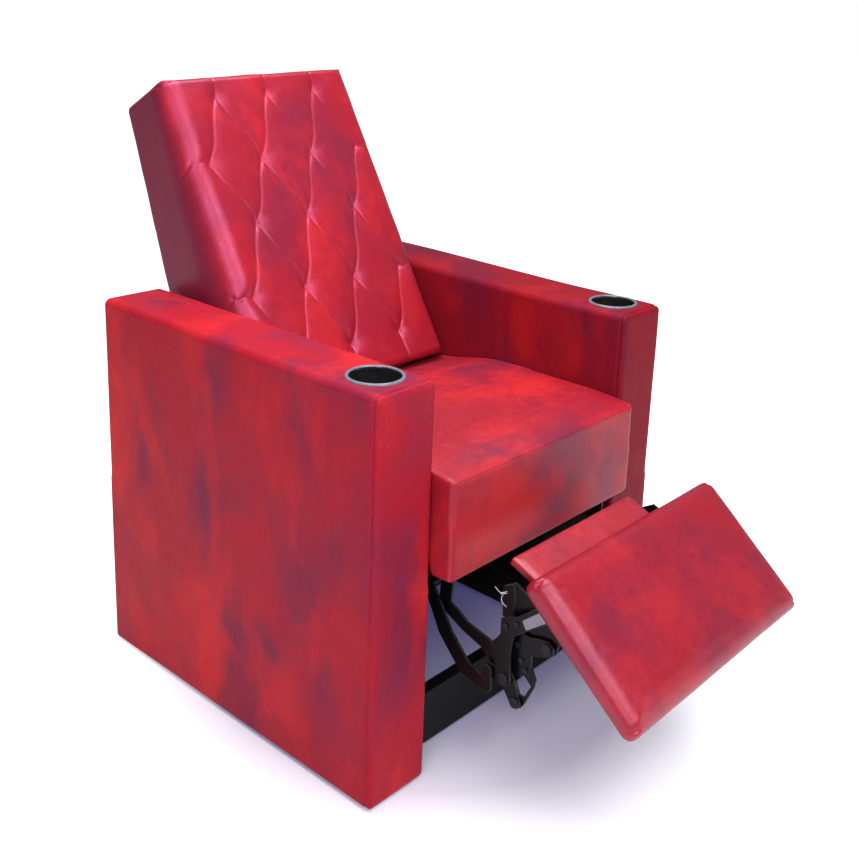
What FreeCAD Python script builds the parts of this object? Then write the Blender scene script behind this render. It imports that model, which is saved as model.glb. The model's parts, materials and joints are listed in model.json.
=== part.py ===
import FreeCAD, Part
import math
import os

# Push-back recliner with box arms, cup holders, tufted back and a folding footrest.
# Millimetres, +Z up, the sitter faces -Y. X is zero midway between the arms.
# The pose is half open: footrest part way out, back leaning, seat part way forward.

V = FreeCAD.Vector
doc = FreeCAD.newDocument("recliner")

# Driving sizes
sheet = doc.addObject("Spreadsheet::Sheet", "sizes")
SIZES = [
    ("front_y", -218.37), ("total_width", 730), ("arm_width", 121), ("arm_depth", 676),
    ("arm_top", 660), ("glide_height", 6), ("glide_radius", 14), ("glide_inset", 45),
    ("cover_skin", 8), ("cover_round", 13), ("board", 15),
    ("cup_setback", 66), ("cup_radius", 38), ("cup_depth", 68), ("cup_wall", 2),
    ("cup_flange", 44.5), ("cup_flange_thick", 4), ("cup_gap", 0.3),
    ("rail_setback", 50), ("rail_thick", 22), ("rail_height", 92), ("rear_rail_inset", 54),
    ("steel", 3), ("layer_pitch", 6), ("linkage_inset", 56), ("flange_height", 68),
    ("pin_radius", 4), ("pin_clear", 0.05), ("head_radius", 8), ("head_thick", 2.5),
    ("head_gap", 0.2), ("open_clear", 0.3),
    ("rocker_length", 110), ("rocker_lean", 10), ("rocker_width", 26),
    ("front_pivot_y", 150), ("rear_pivot_y", 430), ("pivot_above_rail", 52), ("tube_radius", 11),
    ("seat_top", 511), ("seat_crown", 4), ("seat_bottom", 355), ("seat_slab", 77.5),
    ("seat_front", -34), ("seat_rear", 420), ("seat_gap", 4), ("seat_round", 18),
    ("apron_thick", 20), ("frame_rail", 22), ("frame_rail_height", 58), ("frame_rear", 362),
    ("frame_gap", 12), ("seat_plate_rise", 34), ("web_width", 50), ("web_thick", 2.5), ("web_count", 5),
    ("back_gap", 9), ("back_taper", 19), ("back_lean", 29.5), ("back_front_y", 400),
    ("back_bottom", 521), ("back_length", 582), ("back_top_thick", 122.5), ("back_rear_lean", 21.3),
    ("back_round", 26), ("back_foam", 60), ("back_side_foam", 11), ("back_post", 45),
    ("back_rail", 58), ("back_top_foam", 25), ("back_board", 18),
    ("back_hinge_y", 400), ("back_hinge_z", 416), ("rear_panel_thick", 5), ("rear_panel_drop", 330),
    ("back_bracket_rise", 120),
    ("tuft_spacing", 127), ("tuft_first", 30), ("tuft_step", 0.1333), ("tuft_depth", 15),
    ("tuft_radius", 26), ("pleat_depth", 7), ("pleat_half", 13),
    ("footrest_y", -189), ("footrest_z", 414), ("footrest_angle", 39.8), ("footrest_length", 228),
    ("footrest_gap", 1), ("footrest_thick", 32), ("footrest_board", 12), ("footrest_round", 11),
    ("board_inset", 14), ("footrest_crown", 5),
    ("flipper_y", -90), ("flipper_z", 378), ("flipper_angle", 22), ("flipper_length", 100),
    ("flipper_inset", 29), ("flipper_thick", 13), ("flipper_board", 6),
    ("cross_wall", 3), ("strap_thick", 2), ("bracket_flange", 34), ("screw_radius", 5),
    ("flipper_foot", 50),
    ("bolt_radius", 3.5), ("bolt_head", 7), ("bolt_head_thick", 4),
    # sizes that follow from others
    ("inner_half", "=total_width / 2 - arm_width"), ("layer_start", "=inner_half - linkage_inset"),
    ("frame_half", "=inner_half - frame_gap"), ("seat_width", "=2 * (inner_half - seat_gap)"),
    ("back_width", "=2 * (inner_half - back_gap)"), ("back_top_width", "=back_width - 2 * back_taper"),
    ("footrest_width", "=2 * (inner_half - footrest_gap)"),
    ("flipper_width", "=2 * (layer_start - flipper_inset)"),
]
for row, (alias, value) in enumerate(SIZES, start=1):
    sheet.set("A%d" % row, alias)
    sheet.set("B%d" % row, str(value))
    sheet.setAlias("B%d" % row, alias)
doc.recompute()


def size(alias):
    """Value of one sheet cell, in millimetres or degrees."""
    return float(getattr(sheet, alias))


def fy(distance):
    """Model Y of a distance behind the front faces of the arms."""
    return size("front_y") + distance


HALF = size("total_width") / 2
INNER = size("inner_half")
STEEL = size("steel")
PIN = size("pin_radius")
RAIL_TOP = size("glide_height") + size("rail_height")
NODES = []


def keep(obj, label):
    """Name a finished sub-part and put it on the export list."""
    obj.Label = label
    NODES.append(obj)
    return obj


def bind(obj, **expressions):
    """Tie properties to expressions on the sheet; a double underscore stands for a dot."""
    for name, text in expressions.items():
        obj.setExpression(name.replace("__", "."), text)
    return obj


def box(name, length, width, height, at):
    """Box whose sides and corner are expressions on the sheet."""
    item = doc.addObject("Part::Box", name)
    bind(item, Length=length, Width=width, Height=height)
    for axis, text in zip("xyz", at):
        item.setExpression("Placement.Base." + axis, text)
    return item


def cylinder(name, radius, height, at):
    """Upright cylinder whose sizes and foot are expressions on the sheet."""
    item = doc.addObject("Part::Cylinder", name)
    bind(item, Radius=radius, Height=height)
    for axis, text in zip("xyz", at):
        item.setExpression("Placement.Base." + axis, text)
    return item


def cut(name, base, tool):
    item = doc.addObject("Part::Cut", name)
    item.Base = base
    item.Tool = tool
    return item


def fuse(name, items):
    item = doc.addObject("Part::MultiFuse", name)
    item.Shapes = items
    return item


def feature(label, shape, placement=None):
    """Free-form sub-part whose shape was made from the sheet's values."""
    item = doc.addObject("Part::Feature", label)
    item.Shape = shape
    item.Placement = placement or FreeCAD.Placement()
    return keep(item, label)


def layer(number):
    """Inner face, from the middle plane, of a steel layer of the linkage."""
    return size("layer_start") + number * size("layer_pitch")


def slab(side, near, far, outline):
    """Solid between two distances from the middle plane, on one side, from a (y, z) outline."""
    low, high = sorted((side * near, side * far))
    points = [V(low, fy(y), z) for y, z in outline]
    face = Part.Face(Part.makePolygon(points + points[:1]))
    return face.extrude(V(high - low, 0, 0))


def round_outline(points, radii):
    """Convex outline round circles of the given radii, as (y, z) corner points."""
    corners = []
    for (y, z), radius in zip(points, radii):
        for k in range(12):
            turn = 2 * math.pi * k / 12
            corners.append((y + radius * math.cos(turn), z + radius * math.sin(turn)))
    corners.sort()
    chains = []
    for run in (corners, corners[::-1]):
        chain = []
        for p in run:
            while len(chain) > 1 and cross(chain[-2], chain[-1], p) <= 1e-6:
                chain.pop()
            chain.append(p)
        chains.append(chain[:-1])
    return chains[0] + chains[1]


def cross(a, b, c):
    return (b[0] - a[0]) * (c[1] - a[1]) - (b[1] - a[1]) * (c[0] - a[0])


def bar(side, number, points, radii):
    """Steel link in one layer: a chain of straight rounded stretches through its points."""
    near = layer(number)
    parts = [slab(side, near, near + STEEL, round_outline(points[k:k + 2], radii[k:k + 2]))
             for k in range(len(points) - 1)]
    shape = parts[0]
    for other in parts[1:]:
        shape = shape.fuse(other)
    return shape.removeSplitter()


def hole(side, number, y, z, radius):
    """Drill through one steel layer."""
    near = layer(number)
    start = V(side * (near - 1), fy(y), z)
    return Part.makeCylinder(radius, STEEL + 2, start, V(side, 0, 0))


def drilled(shape, side, number, places, clear=None):
    """Link with pivot holes at its (y, z) places."""
    radius = PIN + (size("pin_clear") if clear is None else clear)
    for y, z in places:
        shape = shape.cut(hole(side, number, y, z, radius))
    return shape


def rivet(side, first, last, y, z):
    """Shouldered rivet through the layers first..last, heads outside, collars in the gaps."""
    gap = size("head_gap")
    head = size("head_thick")
    start = layer(first) - gap - head
    end = layer(last) + STEEL + gap + head
    axis = V(side, 0, 0)

    def disc(near, far, radius):
        return Part.makeCylinder(radius, far - near, V(side * near, fy(y), z), axis)

    shape = disc(start, end, PIN)
    shape = shape.fuse(disc(start, start + head, size("head_radius")))
    shape = shape.fuse(disc(end - head, end, size("head_radius")))
    for number in range(first, last):
        near = layer(number) + STEEL + gap
        far = layer(number + 1) - gap
        shape = shape.fuse(disc(near, far, size("head_radius") - 1))
    return shape


def bolt(point, direction, length):
    """Hexagon-head bolt: the head's seat is at the point, the shank runs along the direction."""
    axis = V(*direction)
    shank = Part.makeCylinder(size("bolt_radius"), length, point, axis)
    head = Part.makeCylinder(size("bolt_head"), size("bolt_head_thick"),
                             point - axis * size("bolt_head_thick"), axis)
    return shank.fuse(head)


def both(make):
    """Left and right shapes of one function of the side: -1 is the sitter's right."""
    return {"right": make(-1), "left": make(1)}


def round_edges(name, base, radius, wanted):
    """Fillet on the edges of an object whose middle passes a test."""
    doc.recompute()
    item = doc.addObject("Part::Fillet", name)
    item.Base = base
    item.Edges = [(number, radius, radius) for number, edge in enumerate(base.Shape.Edges, start=1)
                  if wanted(edge.CenterOfMass)]
    return item


# Arms: a box of boards under foam and covering, open below, with a cup holder near the front
def arm(name, inner_x):
    """inner_x is the arm's low X as an expression."""
    outer = box(name + "_outer", "sizes.arm_width", "sizes.arm_depth",
                "sizes.arm_top - sizes.glide_height", (inner_x, "sizes.front_y", "sizes.glide_height"))
    upright = round_edges(name + "_corners", outer, size("cover_round") / 2,
                          lambda c: size("glide_height") + 1 < c.z < size("arm_top") - 1)
    rounded = round_edges(name + "_rounded", upright, size("cover_round"),
                          lambda c: c.z > size("arm_top") - 1)
    hollow = box(name + "_hollow", "sizes.arm_width - 2 * sizes.cover_skin",
                 "sizes.arm_depth - 2 * sizes.cover_skin",
                 "sizes.arm_top - sizes.glide_height - sizes.cover_skin",
                 (inner_x + " + sizes.cover_skin", "sizes.front_y + sizes.cover_skin",
                  "sizes.glide_height"))
    middle_x = inner_x + " + sizes.arm_width / 2"
    cup_y = "sizes.front_y + sizes.cup_setback"
    well = cylinder(name + "_well", "sizes.cup_radius + sizes.cup_wall + sizes.cup_gap", "200",
                    (middle_x, cup_y, "sizes.arm_top - sizes.cup_depth - 20"))
    shell = cut(name + "_shell", rounded, hollow)
    keep(cut(name + "_cover_cut", shell, well), name + "_cover")

    frame_outer = box(name + "_frame_outer", "sizes.arm_width - 2 * sizes.cover_skin",
                      "sizes.arm_depth - 2 * sizes.cover_skin",
                      "sizes.arm_top - sizes.glide_height - sizes.cover_skin",
                      (inner_x + " + sizes.cover_skin", "sizes.front_y + sizes.cover_skin",
                       "sizes.glide_height"))
    frame_inner = box(name + "_frame_inner", "sizes.arm_width - 2 * (sizes.cover_skin + sizes.board)",
                      "sizes.arm_depth - 2 * (sizes.cover_skin + sizes.board)",
                      "sizes.arm_top - sizes.glide_height - sizes.cover_skin - 2 * sizes.board",
                      (inner_x + " + sizes.cover_skin + sizes.board",
                       "sizes.front_y + sizes.cover_skin + sizes.board",
                       "sizes.glide_height + sizes.board"))
    frame_well = cylinder(name + "_frame_well", "sizes.cup_radius + sizes.cup_wall + sizes.cup_gap",
                          "200", (middle_x, cup_y, "sizes.arm_top - sizes.cup_depth - 20"))
    keep(cut(name + "_frame_cut", cut(name + "_frame_box", frame_outer, frame_inner), frame_well),
         name + "_frame")

    tube = cylinder(name + "_cup_tube", "sizes.cup_radius + sizes.cup_wall",
                    "sizes.cup_depth + sizes.cup_wall + sizes.cup_gap",
                    (middle_x, cup_y, "sizes.arm_top - sizes.cup_depth - sizes.cup_wall"))
    flange = cylinder(name + "_cup_rim", "sizes.cup_flange", "sizes.cup_flange_thick",
                      (middle_x, cup_y, "sizes.arm_top + sizes.cup_gap"))
    bore = cylinder(name + "_cup_bore", "sizes.cup_radius", "sizes.cup_depth + 20",
                    (middle_x, cup_y, "sizes.arm_top - sizes.cup_depth"))
    cup = cut(name + "_cup_cut", fuse(name + "_cup_solid", [tube, flange]), bore)
    keep(cup, name.replace("arm", "cup_holder"))


arm("right_arm", "-sizes.total_width / 2")
arm("left_arm", "sizes.total_width / 2 - sizes.arm_width")


def glides():
    """Four flat plastic glides under each arm."""
    shapes = []
    inset = size("glide_inset")
    for side in (-1, 1):
        for x in (HALF - inset / 2 - size("glide_radius"), INNER + inset / 2 + size("glide_radius")):
            for y in (inset, size("arm_depth") - inset):
                shapes.append(Part.makeCylinder(size("glide_radius"), size("glide_height"),
                                                V(side * x, fy(y), 0)))
    feature("floor_glides", Part.makeCompound(shapes))


glides()

# Base: two rails between the arms and a steel angle along each side on top of them
REAR_RAIL = "sizes.front_y + sizes.arm_depth - sizes.rear_rail_inset - sizes.rail_thick"
RAIL_LENGTH = "sizes.total_width - 2 * sizes.arm_width"
for label, rail_y in (("front_base_rail", "sizes.front_y + sizes.rail_setback"),
                      ("rear_base_rail", REAR_RAIL)):
    keep(box(label, RAIL_LENGTH, "sizes.rail_thick", "sizes.rail_height",
             ("-sizes.total_width / 2 + sizes.arm_width", rail_y, "sizes.glide_height")), label)

REAR_RAIL_BACK = size("arm_depth") - size("rear_rail_inset")
PIVOT_Z = RAIL_TOP + size("pivot_above_rail")
BASE_PIVOTS = [(size("front_pivot_y"), PIVOT_Z), (size("rear_pivot_y"), PIVOT_Z)]


def base_angle(side):
    """Angle section: an upright flange in the outermost layer and a flat one on the rails."""
    near = layer(5)
    start, end = size("rail_setback"), REAR_RAIL_BACK
    top = RAIL_TOP + size("flange_height")
    upright = slab(side, near, near + STEEL,
                   [(start, RAIL_TOP), (end, RAIL_TOP), (end, top), (start, top)])
    flat = slab(side, near, INNER - 1,
                [(start, RAIL_TOP), (end, RAIL_TOP), (end, RAIL_TOP + STEEL), (start, RAIL_TOP + STEEL)])
    return drilled(upright.fuse(flat).removeSplitter(), side, 5, BASE_PIVOTS)


def screw_holes(shape, places, direction, length):
    """Clearance holes for bolts through a plate or a board."""
    axis = V(*direction)
    for point in places:
        shape = shape.cut(Part.makeCylinder(size("bolt_radius") + size("pin_clear"), length,
                                            point - axis, axis))
    return shape


BASE_BOLT_X = (layer(5) + STEEL + INNER) / 2
BASE_BOLT_Y = [size("rail_setback") + size("rail_thick") / 2, REAR_RAIL_BACK - size("rail_thick") / 2]
for word, side in (("right", -1), ("left", 1)):
    spots = [V(side * BASE_BOLT_X, fy(y), RAIL_TOP) for y in BASE_BOLT_Y]
    feature(word + "_base_angle", screw_holes(base_angle(side), spots, (0, 0, 1), STEEL + 2))


def base_bolts():
    """Lag bolts down through each angle; their shanks stop at the top of the rail."""
    shapes = []
    for side in (-1, 1):
        for y in BASE_BOLT_Y:
            shapes.append(bolt(V(side * BASE_BOLT_X, fy(y), RAIL_TOP + STEEL), (0, 0, -1), STEEL))
    feature("base_bolts", Part.makeCompound(shapes))


base_bolts()

# Rocker links: the seat rides forward and back on two parallel pairs
LEAN = math.radians(size("rocker_lean"))
RISE = (size("rocker_length") * math.sin(LEAN), size("rocker_length") * math.cos(LEAN))
SEAT_PIVOTS = [(y + RISE[0], z + RISE[1]) for y, z in BASE_PIVOTS]
ROCKER_R = size("rocker_width") / 2


def tube_place(number):
    """Centre of the cross tube of a rocker pair, a little above half way up."""
    (y0, z0), (y1, z1) = BASE_PIVOTS[number], SEAT_PIVOTS[number]
    return y0 + (y1 - y0) * 0.5, z0 + (z1 - z0) * 0.5


for number, place in enumerate(("front", "rear")):
    for word, side in (("right", -1), ("left", 1)):
        link = bar(side, 4, [BASE_PIVOTS[number], SEAT_PIVOTS[number]], [ROCKER_R, ROCKER_R])
        link = drilled(link, side, 4, [BASE_PIVOTS[number]])
        upper_clear = size("open_clear") if place == "rear" else None
        link = drilled(link, side, 4, [SEAT_PIVOTS[number]], upper_clear)
        feature("%s_%s_rocker" % (word, place), link)
    ty, tz = tube_place(number)
    reach = layer(4)
    radius = size("tube_radius")
    tube = Part.makeCylinder(radius, 2 * reach, V(-reach, fy(ty), tz), V(1, 0, 0))
    core = Part.makeCylinder(radius - 2, 2 * reach, V(-reach, fy(ty), tz), V(1, 0, 0))
    feature(place + "_rocker_tube", tube.cut(core))


def base_rivets():
    shapes = [rivet(side, 4, 5, y, z) for side in (-1, 1) for y, z in BASE_PIVOTS]
    feature("base_rivets", Part.makeCompound(shapes))


base_rivets()

# Footrest linkage, in (y, z) at rest: y counts from the front faces of the arms
FRONT_PIVOT = (1.4, 340.0)
REAR_PIVOT = (64.5, 354.6)
TIP = (-137.0, 180.0)
CROSSING = (-118.6, 215.5)
REAR_TIP = (-90.9, 218.3)
OTTOMAN_PIVOT = (-183.7, 287.4)
FLIPPER_HINGE = (-166.0, 339.0)
BACK_HINGE = (size("back_hinge_y"), size("back_hinge_z"))
SEAT_FRAME_TOP = size("seat_top") - size("seat_slab") - size("web_thick")
SEAT_FRAME_BOTTOM = SEAT_FRAME_TOP - size("frame_rail_height")
FRAME_FRONT = size("seat_front") + size("apron_thick")
PLATE_RISE = size("seat_plate_rise")


def seat_plate(side):
    """Side plate of the seat: carries the footrest links, the rockers and the back hinge."""
    y1, z1 = SEAT_PIVOTS[0]
    y2, z2 = SEAT_PIVOTS[1]
    yh, zh = BACK_HINGE
    upper = SEAT_FRAME_BOTTOM + PLATE_RISE
    lower = 322
    front = FRAME_FRONT + size("frame_rail") + 1
    outline = [(-12, 328), (-12, 352), (front, 352), (front, upper), (yh - 36, upper),
               (yh - 14, zh + 13), (yh + 12, zh + 13), (yh + 17, zh - 2), (yh + 26, lower + 30),
               (y2 + 26, lower), (y2 + 15, z2 - 12), (y2 - 13, z2 - 14), (y2 - 45, lower),
               (y1 + 45, lower), (y1 + 15, z1 - 12), (y1 - 13, z1 - 14), (y1 - 40, lower)]
    plate = slab(side, layer(3), layer(3) + STEEL, outline)
    places = [FRONT_PIVOT, REAR_PIVOT, BACK_HINGE] + SEAT_PIVOTS
    plate = drilled(plate, side, 3, places)
    spots = [V(side * layer(3), fy(y), SEAT_FRAME_BOTTOM + 20) for y in SEAT_BOLT_Y]
    return screw_holes(plate, spots, (side, 0, 0), STEEL + 2)


SEAT_BOLT_Y = [60, 190, 320]
for word, shape in both(seat_plate).items():
    feature(word + "_seat_plate", shape)


def seat_rivets():
    shapes = []
    for side in (-1, 1):
        shapes.append(rivet(side, 2, 3, *FRONT_PIVOT))
        shapes.append(rivet(side, 3, 4, *REAR_PIVOT))
        shapes.append(rivet(side, 2, 3, *BACK_HINGE))
        for y, z in SEAT_PIVOTS:
            shapes.append(rivet(side, 3, 4, y, z))
    feature("seat_rivets", Part.makeCompound(shapes))


seat_rivets()


def seat_bolts():
    """Bolts from inside each seat plate; their shanks stop at the wooden side rail."""
    shapes = []
    for side in (-1, 1):
        for y in SEAT_BOLT_Y:
            point = V(side * layer(3), fy(y), SEAT_FRAME_BOTTOM + 20)
            shapes.append(bolt(point, (side, 0, 0), STEEL))
    feature("seat_bolts", Part.makeCompound(shapes))


seat_bolts()


# Seat frame: a wooden box frame with a deeper front rail
def seat_frame():
    rail = size("frame_rail")
    half = size("frame_half")
    side_near = layer(3) + STEEL
    front, rear = FRAME_FRONT, size("frame_rear")
    low, top = SEAT_FRAME_BOTTOM, SEAT_FRAME_TOP
    front_low = size("seat_bottom") + 5

    def block(x0, x1, y0, y1, z0, z1):
        return Part.makeBox(x1 - x0, y1 - y0, z1 - z0, V(x0, fy(y0), z0))

    above_plate = SEAT_FRAME_BOTTOM + PLATE_RISE + 1
    shape = block(-half, half, front, front + rail, front_low, top)
    shape = shape.fuse(block(-half, half, rear - rail, rear, above_plate, top))
    for side in (-1, 1):
        x0, x1 = sorted((side * side_near, side * half))
        shape = shape.fuse(block(x0, x1, front, rear, low, top))
    feature("seat_frame", shape.removeSplitter())


seat_frame()


def seat_webbing():
    """Elastic straps across the top of the seat frame, side to side."""
    count = int(size("web_count"))
    width = size("web_width")
    start, end = FRAME_FRONT + 6, size("frame_rear") - 6
    pitch = (end - start - width) / (count - 1)
    half = size("frame_half")
    shapes = [Part.makeBox(2 * half, width, size("web_thick"),
                           V(-half, fy(start + k * pitch), SEAT_FRAME_TOP)) for k in range(count)]
    feature("seat_webbing", Part.makeCompound(shapes))


seat_webbing()


def arc(a, b, c):
    return Part.Arc(V(*a), V(*b), V(*c)).toShape()


def line(a, b):
    return Part.LineSegment(V(*a), V(*b)).toShape()


def seat_cushion():
    """Box-edge cushion with a crowned top, a front apron and sides drawn in between the corners."""
    front, rear = fy(size("seat_front")), fy(size("seat_rear"))
    apron = front + size("apron_thick") - 0.3
    top, low = size("seat_top"), size("seat_bottom")
    slab_low = top - size("seat_slab") + 0.3
    crown = size("seat_crown")
    bulge = size("seat_crown")
    half = size("seat_width") / 2
    lean = 5
    profile = [
        arc((0, front, low), (0, front - bulge + lean / 2, (low + top) / 2), (0, front + lean, top - 6)),
        arc((0, front + lean, top - 6), (0, front + lean + 3, top - 2), (0, front + lean + 8, top)),
        arc((0, front + lean + 8, top), (0, (front + rear) / 2, top + crown), (0, rear - 12, top - 2)),
        arc((0, rear - 12, top - 2), (0, rear - 3, top - 6), (0, rear, top - 16)),
        line((0, rear, top - 16), (0, rear, slab_low)),
        line((0, rear, slab_low), (0, apron, slab_low)),
        line((0, apron, slab_low), (0, apron, low)),
        line((0, apron, low), (0, front, low)),
    ]
    long_way = Part.Face(Part.Wire(profile)).extrude(V(2 * half + 40, 0, 0))
    long_way.translate(V(-half - 20, 0, 0))
    edge = size("seat_round") / 2
    y0 = front - 20
    across = [
        arc((-half, y0, low - 5), (-half + 3, y0, (low + top) / 2), (-half, y0, top - edge)),
        arc((-half, y0, top - edge), (-half + edge * 0.3, y0, top - edge * 0.3), (-half + edge, y0, top)),
        arc((-half + edge, y0, top), (0, y0, top + crown + 1), (half - edge, y0, top)),
        arc((half - edge, y0, top), (half - edge * 0.3, y0, top - edge * 0.3), (half, y0, top - edge)),
        arc((half, y0, top - edge), (half - 3, y0, (low + top) / 2), (half, y0, low - 5)),
        line((half, y0, low - 5), (-half, y0, low - 5)),
    ]
    cross_way = Part.Face(Part.Wire(across)).extrude(V(0, rear - front + 60, 0))
    feature("seat_cushion", long_way.common(cross_way))


seat_cushion()

# Back: upholstered wedge on a wooden frame, hinged to the seat plates
BACK_LEAN = math.radians(size("back_lean"))
REAR_LEAN = math.radians(size("back_rear_lean"))
UP_FRONT = (math.sin(BACK_LEAN), math.cos(BACK_LEAN))
TO_REAR = (math.cos(BACK_LEAN), -math.sin(BACK_LEAN))
FRONT_LOW = (size("back_front_y"), size("back_bottom"))
FRONT_TOP = (FRONT_LOW[0] + size("back_length") * UP_FRONT[0],
             FRONT_LOW[1] + size("back_length") * UP_FRONT[1])
REAR_TOP = (FRONT_TOP[0] + size("back_top_thick") * TO_REAR[0],
            FRONT_TOP[1] + size("back_top_thick") * TO_REAR[1])


def rear_line(z, inset=0.0):
    """Distance back of the rear face at one height, or of a plane inset from it."""
    return REAR_TOP[0] - (REAR_TOP[1] - z) * math.tan(REAR_LEAN) - inset / math.cos(REAR_LEAN)


def front_line(z, inset=0.0):
    """Distance back of the front face at one height, or of a plane inset from it."""
    return FRONT_LOW[0] + (z - FRONT_LOW[1]) * math.tan(BACK_LEAN) + inset / math.cos(BACK_LEAN)


def under_top(y, inset):
    """Height of the plane inset below the top face at one distance back."""
    slope = math.tan(BACK_LEAN)
    return FRONT_TOP[1] - (y - FRONT_TOP[0]) * slope - inset / math.cos(BACK_LEAN)


def meet_top(plane, inset):
    """Where a leaning plane, given as a function of height, meets the plane under the top face."""
    z = FRONT_TOP[1]
    for step in range(40):
        z = under_top(plane(z), inset)
    return plane(z), z


def wedge(half_low, half_top, outline):
    """Solid of the back's width from a (y, z) outline, narrower at the top than at the bottom."""
    base = Part.Face(Part.makePolygon([V(-half_low, fy(y), z) for y, z in outline + outline[:1]]))
    block = base.extrude(V(2 * half_low, 0, 0))
    z0, z1 = size("back_bottom"), REAR_TOP[1] + 200
    taper = (half_low - half_top) / (FRONT_TOP[1] - z0)
    for side in (-1, 1):
        x0, x1 = side * half_low, side * (half_low - taper * (z1 - z0))
        far = side * (half_low + 60)
        y0 = fy(size("back_front_y") - 100)
        corners = [V(x0, y0, z0), V(x1, y0, z1), V(far, y0, z1), V(far, y0, z0), V(x0, y0, z0)]
        block = block.cut(Part.Face(Part.makePolygon(corners)).extrude(V(0, 700, 0)))
    return block


def face_point(across, down, depth):
    """Point on the back's front face: across in X, down from its top edge, depth into the foam."""
    return V(across,
             fy(FRONT_TOP[0] - down * UP_FRONT[0] + depth * TO_REAR[0]),
             FRONT_TOP[1] - down * UP_FRONT[1] + depth * TO_REAR[1])


def tuft_places():
    """Tufts as (across, down): rows of three and four take turns down the face."""
    width = size("back_width")
    step = size("tuft_step") * width
    places = []
    row = 0
    down = size("tuft_first")
    while down < size("back_length") - 20:
        count = 3 if row % 2 == 0 else 4
        for k in range(count):
            places.append((2 * step * (k - (count - 1) / 2), down))
        down += size("tuft_spacing")
        row += 1
    return places


def pleat(start, end):
    """Sharp V fold between two (across, down) places on the front face."""
    half, depth = size("pleat_half"), size("pleat_depth")
    a0, a1 = face_point(*start, 0), face_point(*end, 0)
    along = (a1 - a0).normalize()
    into = (face_point(0, 0, 1) - face_point(0, 0, 0)).normalize()
    aside = along.cross(into)
    lift = 4
    spread = half * (depth + lift) / depth
    corners = [a0 + aside * spread - into * lift, a0 - aside * spread - into * lift, a0 + into * depth]
    return Part.Face(Part.makePolygon(corners + corners[:1])).extrude(a1 - a0)


def pleat_lines():
    """Diagonal folds from each tuft to its neighbours in the next row, as straight runs."""
    step = size("tuft_step") * size("back_width")
    places = tuft_places()
    runs = []
    for x, down in places:
        for side in (-1, 1):
            for x2, down2 in places:
                near = abs(x2 - (x + side * step)) < 1 and abs(down2 - down - size("tuft_spacing")) < 1
                if near:
                    runs.append(((x, down), (x2, down2)))
    return runs


def back_cushion():
    """Foam and covering of the back, hollow behind for the frame, with sewn blind tufts in front."""
    half, half_top = size("back_width") / 2, size("back_top_width") / 2
    outline = [FRONT_LOW, FRONT_TOP, REAR_TOP, (rear_line(FRONT_LOW[1]), FRONT_LOW[1])]
    body = wedge(half, half_top, outline)
    radius = size("back_round")
    chosen = []
    for edge in body.Edges:
        ends = [v.Point for v in edge.Vertexes]
        middle = (ends[0] + ends[1]) * 0.5
        from_front = (middle - face_point(middle.x, 0, 0)).dot(face_point(0, 0, 1) - face_point(0, 0, 0))
        if abs(from_front) < 1 and middle.z > size("back_bottom") + 5:
            chosen.append(edge)
    body = body.makeFillet(radius, chosen)
    foam = size("back_foam")
    skin = size("back_side_foam")
    over = size("back_top_foam")
    top_front = meet_top(lambda z: front_line(z, foam), over)
    top_rear = meet_top(lambda z: rear_line(z, -1), over)
    low = size("back_bottom")
    cavity = [(front_line(low - 5, foam), low - 5), top_front, top_rear, (rear_line(low - 5, -1), low - 5)]
    body = body.cut(wedge(half - skin, half_top - skin, cavity))
    into = face_point(0, 0, 1) - face_point(0, 0, 0)
    for start, end in pleat_lines():
        body = body.cut(pleat(start, end))
    for across, down in tuft_places():
        lift = 3
        reach = size("tuft_depth") + lift
        wide = size("tuft_radius") * reach / size("tuft_depth")
        cone = Part.makeCone(wide, 2.5, reach, face_point(across, down, -lift), into)
        body = body.cut(cone)
    feature("back_cushion", body)


back_cushion()


def back_frame():
    """Two posts behind the foam, joined by three rails."""
    foam, post = size("back_foam") + 0.3, size("back_post")
    low = size("back_bottom")
    half = layer(2)
    near = half - size("back_board")
    over = size("back_top_foam") + 0.5
    top_front = meet_top(lambda z: front_line(z, foam), over)
    depth_line = lambda z: min(front_line(z, foam + post), rear_line(z, size("rear_panel_thick") + 0.3))
    top_rear = meet_top(depth_line, over)
    outline = [(front_line(low, foam), low), top_front, top_rear, (depth_line(low), low)]
    shape = slab(-1, near, half, outline).fuse(slab(1, near, half, outline))

    def rail(z0, z1):
        return slab(1, -near, near, [(front_line(z0, foam), z0), (front_line(z1, foam), z1),
                                     (front_line(z1, foam + 20), z1), (front_line(z0, foam + 20), z0)])

    top = top_rear[1]
    tall = size("back_rail")
    first, last = low + size("back_bracket_rise") + 10, top - tall - 2
    for z0 in (first, (first + last) / 2, last):
        shape = shape.fuse(rail(z0, z0 + tall))
    feature("back_frame", shape.removeSplitter())


back_frame()


def back_rear_panel():
    """Outside back: a covered board let in between the side covers, hanging below the back."""
    half = size("back_top_width") / 2 - size("back_side_foam") - 0.3
    thick = size("rear_panel_thick")
    over = size("back_top_foam") + 0.5
    top_rear = meet_top(lambda z: rear_line(z), over)
    top_front = meet_top(lambda z: rear_line(z, thick), over)
    low = size("rear_panel_drop")
    outline = [(rear_line(low), low), top_rear, top_front, (rear_line(low, thick), low)]
    feature("back_rear_panel", slab(1, -half, half, outline))


back_rear_panel()


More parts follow.
